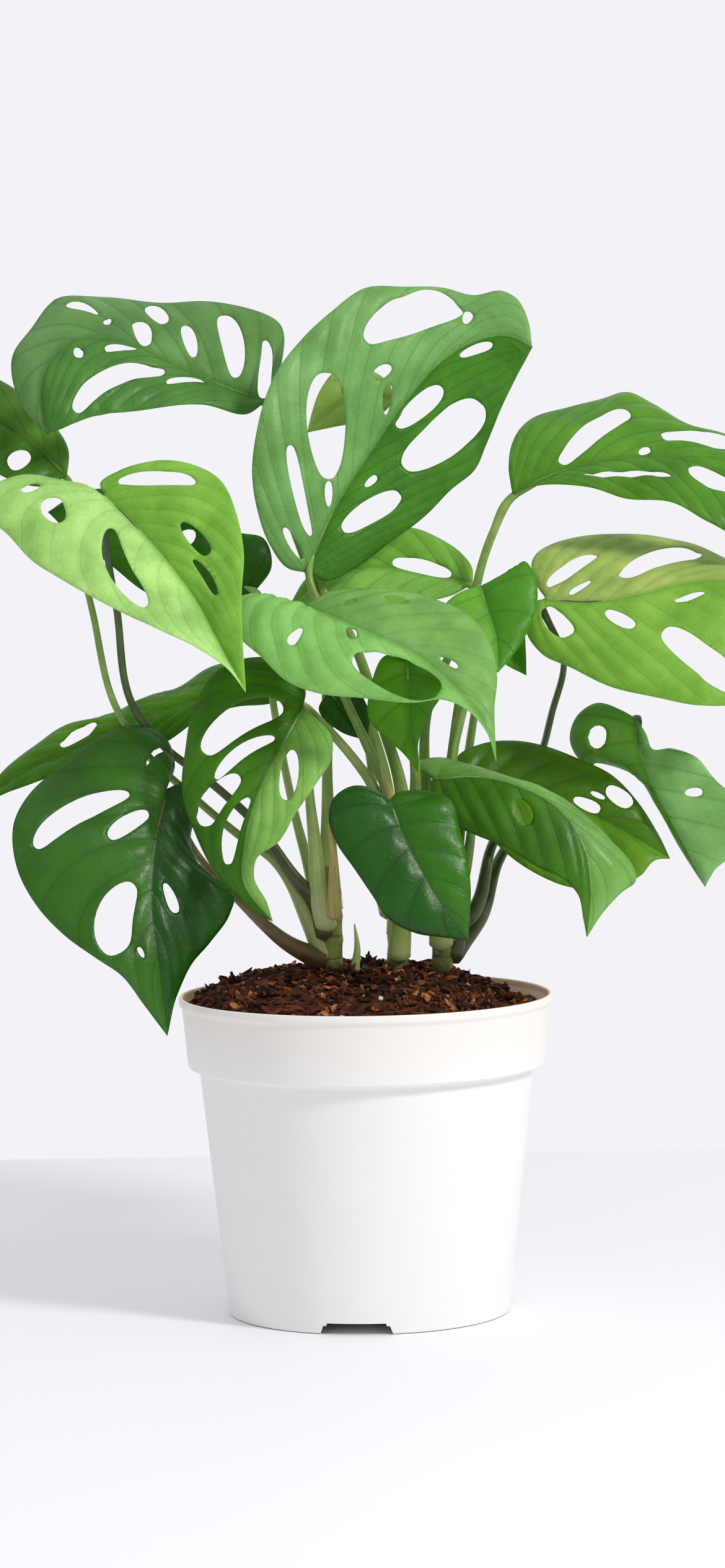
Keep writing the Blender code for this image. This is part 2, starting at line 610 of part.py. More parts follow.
class Blade:
    """A leaf's surface between its midrib and its margins.

    A place on it is (along, across): along runs from the base, 0, to the tip, 1, and across from the left
    margin, -1, over the midrib, 0, to the right margin, 1. Lines of one along are the lateral veins.
    """

    def __init__(self, plan):
        shift = spread(plan)
        midrib = placed(plan["midrib"], shift)
        self.midrib = Line(midrib)
        self.left = Line([midrib[0], *placed(plan["left"], shift), midrib[-1]])
        self.right = Line([midrib[0], *placed(plan["right"], shift), midrib[-1]])
        self.holes = plan.get("holes", [])

    def ray(self, along, across):
        start = self.midrib.at(along**FAN)
        side = np.where((across < 0)[:, None], self.left.at(along), self.right.at(along))
        return start, side - start

    def normal(self, along):
        over = self.right.at(along) - self.left.at(along)
        return unit(np.cross(over, self.midrib.heading(along**FAN)))

    def point(self, along, across):
        start, ray = self.ray(along, across)
        reach = np.abs(across)[:, None]
        arch = BULGE * 4 * reach * (1 - reach) * np.linalg.norm(ray, axis=1, keepdims=True)
        return start + ray * reach + self.normal(along) * arch

    def flat(self, along, across):
        """The place on the leaf pressed flat, with its midrib along x."""
        _, ray = self.ray(along, across)
        length = np.linalg.norm(ray, axis=1)
        cosine = np.sum(ray * self.midrib.heading(along**FAN), axis=1) / np.maximum(length, 1e-9)
        sine = np.sqrt(np.maximum(1 - cosine**2, 0.0))
        x = self.midrib.length * along**FAN + np.abs(across) * length * cosine
        return np.stack([x, -across * length * sine], axis=1)


def hole_edge(blade, hole, sides, step=0.01):
    """The edge of a hole: a long rounded gap between two places on the leaf, wider towards the margin."""
    side, first, last, width = hole
    ends = np.array([first, last])
    ends[:, 1] *= side
    turn = np.linspace(0.0, 2 * math.pi, sides, endpoint=False)[:, None]
    middle = ends[0] + (1 - np.cos(turn)) / 2 * (ends[1] - ends[0])
    a, c = middle[:, 0], middle[:, 1]
    ahead = (blade.flat(a + step, c) - blade.flat(a - step, c)) / (2 * step)
    outward = (blade.flat(a, c + step) - blade.flat(a, c - step)) / (2 * step)
    change = ends[1] - ends[0]
    heading = unit(ahead * change[0] + outward * change[1])
    swell = 1 - HOLE_TEAR * np.sign(last[1] - first[1]) * np.cos(turn)
    half = width * MM / 2 * swell * np.sign(np.sin(turn)) * np.abs(np.sin(turn)) ** HOLE_ROUNDNESS
    beside = np.stack([-heading[:, 1], heading[:, 0]], axis=1) * half
    frames = np.stack([ahead, outward], axis=2)
    return middle + np.linalg.solve(frames, beside[:, :, None])[:, :, 0]


def spaced(points, taken, gap):
    """Which of the points keep the gap to those taken and to each other."""
    kept = list(taken)
    chosen = []
    for index, point in enumerate(points):
        if np.min(np.linalg.norm(np.array(kept) - point, axis=1)) >= gap:
            kept.append(point)
            chosen.append(index)
    return chosen


def inside(points, loop):
    """Which points lie inside a closed loop."""
    start = loop[None, :, :]
    end = np.roll(loop, -1, axis=0)[None, :, :]
    x, y = points[:, 0, None], points[:, 1, None]
    crosses = (start[..., 1] > y) != (end[..., 1] > y)
    run = np.where(crosses, end[..., 1] - start[..., 1], 1.0)
    reach = start[..., 0] + (y - start[..., 1]) / run * (end[..., 0] - start[..., 0])
    return (crosses & (x < reach)).sum(axis=1) % 2 == 1


def blade_mesh(name, blade, cell):
    """The leaf as a sheet of triangles, with its holes left open."""
    rim_count = max(8, round((blade.left.length + blade.right.length) / 2 / cell))
    steps = np.linspace(0.0, 1.0, rim_count + 1)
    rim = [(a, 1.0) for a in steps[:-1]] + [(a, -1.0) for a in steps[:0:-1]]
    rim[0] = (0.0, 0.0)
    rim[rim_count] = (1.0, 0.0)
    rib_count = max(3, round(blade.midrib.length / cell))
    rib = [((k / rib_count) ** (1 / FAN), 0.0) for k in range(1, rib_count)]
    loops = [hole_edge(blade, hole, HOLE_SIDES) for hole in blade.holes]
    places = np.array(rim + rib + [tuple(p) for loop in loops for p in loop])
    flats = blade.flat(places[:, 0], places[:, 1])

    rows = np.linspace(*INNER_ALONG, 2 * rim_count)
    reaches = np.linspace(*INNER_ACROSS, ROW_POINTS)
    inner = np.array([(row, side * reach) for row in rows for side in (-1, 1) for reach in reaches])
    inner_flats = blade.flat(inner[:, 0], inner[:, 1])
    chosen = spaced(inner_flats, flats, cell * POINT_SPACING)
    places = np.concatenate([places, inner[chosen]])
    flats = np.concatenate([flats, inner_flats[chosen]])

    first_rib = len(rim)
    rib_line = [0, *range(first_rib, first_rib + len(rib)), rim_count]
    edges = [(k, (k + 1) % len(rim)) for k in range(len(rim))] + list(zip(rib_line, rib_line[1:]))
    start = first_rib + len(rib)
    hole_loops = []
    for loop in loops:
        ring = list(range(start, start + len(loop)))
        hole_loops.append(flats[ring])
        edges += list(zip(ring, ring[1:] + ring[:1]))
        start += len(loop)

    found = delaunay_2d_cdt([Vector(p) for p in flats], edges, [], 0, 1e-7)
    points, faces, origins = found[0], found[2], found[3]
    if any(not origin for origin in origins):
        raise ValueError(f"{name}: a hole crosses the leaf's edge or its midrib")
    places = np.array([places[origin[0]] for origin in origins])
    centres = np.array([sum((np.array(points[v]) for v in face), np.zeros(2)) / 3 for face in faces])
    kept = inside(centres, flats[: len(rim)])
    for loop in hole_loops:
        kept &= ~inside(centres, loop)

    shape = bmesh.new()
    spots = [shape.verts.new(p) for p in blade.point(places[:, 0], places[:, 1])]
    for face, keep in zip(faces, kept):
        if keep:
            shape.faces.new([spots[v] for v in face])
    bmesh.ops.delete(shape, geom=[v for v in shape.verts if not v.link_faces], context="VERTS")
    bmesh.ops.recalc_face_normals(shape, faces=shape.faces)
    mesh = bpy.data.meshes.new(name)
    shape.to_mesh(mesh)
    shape.free()
    mesh.shade_smooth()
    return mesh


def add_leaf(name, plan, stems, collection, looks):
    blade = Blade(plan)
    leaf = add_mesh(name, blade_mesh(name, blade, CELL), collection, looks["leaf"])
    shell = leaf.modifiers.new("thickness", "SOLIDIFY")
    shell.thickness = BLADE_THICKNESS
    shell.offset = 0.0

    # The stalk starts beside its stem and ends just under the leaf's base.
    stem = stems[plan["stem"]]
    count = len(plan["stalk"])
    way = np.arange(1, count + 1)[:, None] / (count + 1)
    via = placed(plan["stalk"], way * spread(plan))
    height = plan["height"] * MM + POT_HEIGHT - PLANNED_POT_HEIGHT
    heights = stem.points[:, 2]
    axis = np.array([np.interp(height, heights, stem.points[:, k]) for k in range(3)])
    outward = via[0] - axis
    outward[2] = 0.0
    start = axis + unit(outward) * (STEM_RADIUS + STALK_THICK + STALK_CLEAR)
    base = blade.midrib.at(0.0)
    come = unit(base - via[-1])
    under = -blade.normal(np.array([0.12]))[0]
    if np.dot(under, come) > 0:
        under = -under
    tilt = math.sqrt(max(0.0, 1 - float(np.dot(under, come)) ** 2))
    end = base + under * (BLADE_THICKNESS / 2 + GAP + STALK_THIN * tilt)
    path = Line([start, *via, end])
    shares = np.linspace(0.0, 1.0, STALK_POINTS)
    radii = STALK_THICK + (STALK_THIN - STALK_THICK) * shares
    tube(name.replace("leaf", "stalk"), path.at(shares), radii, collection, looks["stalk"])


# The pot and the soil ------------------------------------------------------------------------------


def pot_side(inset):
    """The pot's outer side from lip to foot as (radius, height), or the same line set in by a wall."""
    band_bottom = POT_HEIGHT - BAND_HEIGHT
    return [
        (LIP_DIAMETER / 2 - inset, POT_HEIGHT),
        (LIP_DIAMETER / 2 - inset, POT_HEIGHT - LIP_HEIGHT),
        (BAND_TOP_DIAMETER / 2 - inset, POT_HEIGHT - 2 * LIP_HEIGHT),
        (BAND_BOTTOM_DIAMETER / 2 - inset, band_bottom + inset),
        (SHOULDER_DIAMETER / 2 - inset, band_bottom - SHOULDER_DROP + inset),
        (BASE_DIAMETER / 2 - inset, 0.0),
    ]


def side_radius(inset, height):
    side = pot_side(inset)[::-1]
    return float(np.interp(height, [z for _, z in side], [r for r, _ in side]))


def turned(name, profile, collection, look):
    """A solid turned about Z from its (radius, height) profile."""
    shape = bmesh.new()
    spots = [shape.verts.new((r, 0.0, z)) for r, z in profile]
    for a, b in zip(spots, spots[1:]):
        shape.edges.new((a, b))
    mesh = bpy.data.meshes.new(name)
    shape.to_mesh(mesh)
    shape.free()
    obj = add_mesh(name, mesh, collection, look)
    screw = obj.modifiers.new("turn", "SCREW")
    screw.steps = screw.render_steps = TURNED_STEPS
    screw.use_merge_vertices = True
    screw.merge_threshold = 0.0001
    screw.use_smooth_shade = True
    return obj


def cut(obj, cutter):
    cutter.hide_render = True
    cutter.display_type = "WIRE"
    hole = obj.modifiers.new(f"cut {cutter.name}", "BOOLEAN")
    hole.operation = "DIFFERENCE"
    hole.solver = "EXACT"
    hole.object = cutter


def floor_line(rise):
    """The floor from its edge to the middle, raised by the floor's thickness or a gap."""
    pad = PAD_DIAMETER / 2
    return [(pad + PAD_SLOPE, FOOT_HEIGHT + rise), (pad, rise), (0.0, rise)]


def add_pot(collection, cutters, look):
    outer = pot_side(0.0)
    inner = pot_side(POT_WALL)[:-1]
    floor_top = FOOT_HEIGHT + POT_WALL
    inside_line = floor_line(POT_WALL)[::-1] + [(side_radius(POT_WALL, floor_top), floor_top)] + inner[::-1]
    under_line = [
        (side_radius(POT_WALL, 0.0), 0.0),
        (side_radius(POT_WALL, FOOT_HEIGHT), FOOT_HEIGHT),
    ] + floor_line(0.0)
    pot = turned("pot", inside_line + outer + under_line, collection, look)
    base_radius = BASE_DIAMETER / 2
    for k in range(NOTCH_COUNT):
        angle = NOTCH_ANGLE + k * 2 * math.pi / NOTCH_COUNT
        shape = bmesh.new()
        bmesh.ops.create_cube(shape, size=1.0)
        for vert in shape.verts:
            narrowing = NOTCH_TOP if vert.co.z > 0 else 1.0
            vert.co.x *= NOTCH_DEPTH
            vert.co.y *= NOTCH_WIDTH * narrowing
            vert.co.z *= 2 * NOTCH_HEIGHT
        mesh = bpy.data.meshes.new(f"notch_{k}")
        shape.to_mesh(mesh)
        shape.free()
        notch = add_mesh(f"notch_{k}", mesh, cutters)
        notch.location = (base_radius * math.cos(angle), base_radius * math.sin(angle), 0.0)
        notch.rotation_euler = (0.0, 0.0, angle)
        cut(pot, notch)
    drain_ring = (PAD_DIAMETER / 2 + PAD_SLOPE + side_radius(POT_WALL, FOOT_HEIGHT)) / 2
    for k in range(DRAIN_COUNT):
        angle = NOTCH_ANGLE + (k + 0.5) * 2 * math.pi / DRAIN_COUNT
        shape = bmesh.new()
        radius = DRAIN_DIAMETER / 2
        bmesh.ops.create_cone(
            shape, cap_ends=True, segments=DRAIN_SIDES, radius1=radius, radius2=radius, depth=6 * POT_WALL
        )
        mesh = bpy.data.meshes.new(f"drain_{k}")
        shape.to_mesh(mesh)
        shape.free()
        drain = add_mesh(f"drain_{k}", mesh, cutters)
        middle = FOOT_HEIGHT + POT_WALL / 2
        drain.location = (drain_ring * math.cos(angle), drain_ring * math.sin(angle), middle)
        cut(pot, drain)
    return pot


def soil_top(share):
    """The soil's height at a share of its radius: a low heap that falls away at the wall."""
    return POT_HEIGHT - SOIL_DROP + (SOIL_HEAP + SOIL_DROP) * (1 - share**SOIL_FLATNESS)


def add_soil(stems, collection, cutters, look):
    inset = POT_WALL + GAP
    edge_height = POT_HEIGHT - SOIL_DROP
    edge_radius = side_radius(inset, edge_height)
    top = [(edge_radius * k / SOIL_RINGS, soil_top(k / SOIL_RINGS)) for k in range(SOIL_RINGS)]
    floor_top = FOOT_HEIGHT + POT_WALL + GAP
    wall = [(r, z) for r, z in pot_side(inset)[:-1] if z < edge_height]
    side = [(edge_radius, edge_height)] + wall + [(side_radius(inset, floor_top), floor_top)]
    soil = turned("soil", top + side + floor_line(POT_WALL + GAP), collection, look)
    for name, points in stems.items():
        socket = tube(f"socket_{name}", points, [STEM_RADIUS + GAP] * len(points), cutters, look)
        bpy.context.view_layer.update()
        mesh = bpy.data.meshes.new_from_object(socket.evaluated_get(bpy.context.evaluated_depsgraph_get()))
        shape = bmesh.new()
        shape.from_mesh(mesh)
        bmesh.ops.remove_doubles(shape, verts=shape.verts, dist=1e-6)
        shape.to_mesh(mesh)
        shape.free()
        bpy.data.objects.remove(socket)
        cut(soil, add_mesh(f"socket_{name}", mesh, cutters))
    return soil


def main():
    for obj in list(bpy.data.objects):
        bpy.data.objects.remove(obj)
    collection = bpy.data.collections.new("potted_monstera")
    cutters = bpy.data.collections.new("cutters")
    bpy.context.scene.collection.children.link(collection)
    bpy.context.scene.collection.children.link(cutters)
    looks = {
        "pot": material("white plastic", (0.86, 0.85, 0.83), 0.45),
        "soil": material("coir soil", (0.06, 0.035, 0.02), 0.95),
        "stem": material("stem", (0.18, 0.2, 0.06), 0.5),
        "stalk": material("leaf stalk", (0.24, 0.36, 0.09), 0.4),
        "sheath": material("dry sheath", (0.45, 0.31, 0.13), 0.6),
        "leaf": material("leaf", (0.12, 0.32, 0.06), 0.35),
    }
    add_pot(collection, cutters, looks["pot"])
    stems = {}
    routes = {}
    for name, plan in STEMS.items():
        above = placed(plan)
        foot = above[0] - np.array([0.0, 0.0, STEM_DEPTH])
        stems[name] = Line(above)
        route = Line([foot, *above])
        routes[name] = route.at(np.linspace(0.0, 1.0, STEM_POINTS))
        tube(name, routes[name], [STEM_RADIUS] * STEM_POINTS, collection, looks["stem"])
    add_soil(routes, collection, cutters, looks["soil"])
    for name, (points, foot) in SHEATHS.items():
        shares = np.linspace(0.0, 1.0, SHEATH_POINTS)
        radii = foot * MM * (1 - (1 - SHEATH_TIP) * shares**SHEATH_TAPER)
        tube(name, Line(placed(points)).at(shares), radii, collection, looks["sheath"])
    for name, plan in LEAVES.items():
        add_leaf(name, plan, stems, collection, looks)


main()
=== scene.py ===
"""Looks for the potted monstera: fine leaves, stalks, stems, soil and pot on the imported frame.

Metres, +Z up, in the frame's own axes. The leaves repeat the plan in part.py, in millimetres.
"""

import math

import bmesh
import bpy
import numpy as np
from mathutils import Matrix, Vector, noise
from mathutils.geometry import delaunay_2d_cdt


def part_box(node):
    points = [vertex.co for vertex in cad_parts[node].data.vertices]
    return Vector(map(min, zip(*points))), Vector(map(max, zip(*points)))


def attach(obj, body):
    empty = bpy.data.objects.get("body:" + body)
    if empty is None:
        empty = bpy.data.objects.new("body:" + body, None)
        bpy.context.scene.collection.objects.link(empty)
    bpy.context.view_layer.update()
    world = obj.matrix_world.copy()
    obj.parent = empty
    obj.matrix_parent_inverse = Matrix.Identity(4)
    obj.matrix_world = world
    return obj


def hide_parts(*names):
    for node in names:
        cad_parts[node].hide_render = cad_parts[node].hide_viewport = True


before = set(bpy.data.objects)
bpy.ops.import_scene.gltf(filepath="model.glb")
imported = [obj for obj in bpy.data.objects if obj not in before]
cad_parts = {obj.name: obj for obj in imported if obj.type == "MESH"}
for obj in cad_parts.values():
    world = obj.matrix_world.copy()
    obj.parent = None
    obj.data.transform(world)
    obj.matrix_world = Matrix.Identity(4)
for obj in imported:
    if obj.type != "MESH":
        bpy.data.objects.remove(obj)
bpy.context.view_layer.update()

MM = 0.001
RNG = np.random.default_rng(11)

# The pot and the soil, from the frame
POT_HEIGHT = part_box("pot")[1].z
LIP_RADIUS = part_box("pot")[1].x
SOIL_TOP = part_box("soil")[1].z
SOIL_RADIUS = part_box("soil")[1].x
PLANNED_POT_HEIGHT = 0.128
BAND_TOP_RADIUS = 0.9833 * LIP_RADIUS
BAND_BOTTOM_RADIUS = 0.9533 * LIP_RADIUS
SHOULDER_RADIUS = 0.8933 * LIP_RADIUS
BASE_RADIUS = 0.7533 * LIP_RADIUS
BAND_HEIGHT = 0.028
POT_WALL = 0.0016
FOOT_HEIGHT = 0.005
PAD_RADIUS = 0.022
NOTCH_COUNT = 3
NOTCH_WIDTH = 0.032
NOTCH_HEIGHT = 0.0044
NOTCH_ANGLE = math.radians(-95.5)
DRAIN_COUNT = 6
DRAIN_RADIUS = 0.0045
CORNER_RADIUS = 0.0007
POT_STEPS = 256

# The plant
STEM_RADIUS = 0.0040
STEM_DEPTH = 0.022
STEM_RINGS = 60
STEM_SIDES = 28
SCAR_GAP = 0.0095  # between the swollen rings of a stem
STALK_THICK = 0.0024
STALK_THIN = 0.0016
STALK_STEP = 0.0022
STALK_SIDES = 16
FAN = 1.6
HOLE_TEAR = 0.15
HOLE_ROUNDNESS = 0.8
BULGE = 0.06
BLADE_THICKNESS = 0.00045
CELL = 0.0015
RIB_CELL = 0.0006
SHEATH_SWELL = 0.0025
SHEATH_REACH = 0.036
SHEATH_RINGS = 40
SHEATH_SIDES = 24
GROUNDED = 0.007  # how far a bud or a sheath runs on below its plan

# A leaf's relief, in millimetres
VEIN_SPACING = 11
FULL_SIZE = 70  # length of the midrib from which the relief is full
QUILT_LIFT = 0.95
WAVE_LIFT = 0.9
WAVE_LENGTH = 17
GROOVE_DEPTH = 0.32
GROOVE_WIDTH = 0.9
RIDGE_HEIGHT = 0.95
RIDGE_WIDTH = 1.35
RIM_SHARE = 0.45  # thickness of the margins, as a share of the blade's

# The soil's bed and its loose pieces
SOIL_RINGS = 90
SOIL_STEPS = 220
CHIP_RINGS = 5
CHIP_TURNS = (0.25, 0.75, 1.25, 1.75)  # a chip's four corners, in half turns about its length
CHIP_COUNT = 520
CRUMB_COUNT = 1500
FIBRE_COUNT = 260
GRAIN_COUNT = 26

# The stage
CAMERA_PLACE = (0.0, -2.0, 0.363)
CAMERA_TARGET = (0.0, 0.0, 0.2125)
CAMERA_ROLL = math.radians(-0.8)
CAMERA_LENS = 115.0
KEY_PLACE = (0.98, -0.91, 1.15)
KEY_TARGET = (0.0, 0.0, 0.15)
KEY_SIZE = 0.30
KEY_POWER = 14.5

# The stems: points in millimetres, from the soil's surface up
STEMS = {
    "stem_left": [(-13, 0, 139), (-13, -2, 160), (-14, -2, 180)],
    "stem_centre": [(13, 4, 139), (14, 2, 165), (13, 0, 194)],
    "stem_right": [(31, 0, 139), (31, -2, 160), (30, -3, 188)],
}

# Dry sheaths and a spear-shaped bud at the foot of the stalks: points and the foot's radius, in millimetres
SHEATHS = {
    "sheath_left": ([(-12, -10, 166), (-12, -11, 182), (-14, -12, 198)], 3.0),
    "sheath_centre": ([(13.5, -16.5, 203), (10, -17.5, 212), (7, -19, 222)], 2.4),
    "bud_left": ([(-4, -5, 138.5), (-3, -6, 147), (-4, -8, 157)], 2.2),
}
SHEATH_TIP = 0.12  # the tip's radius, as a share of the foot's
SHEATH_TAPER = 1.5  # how late it narrows

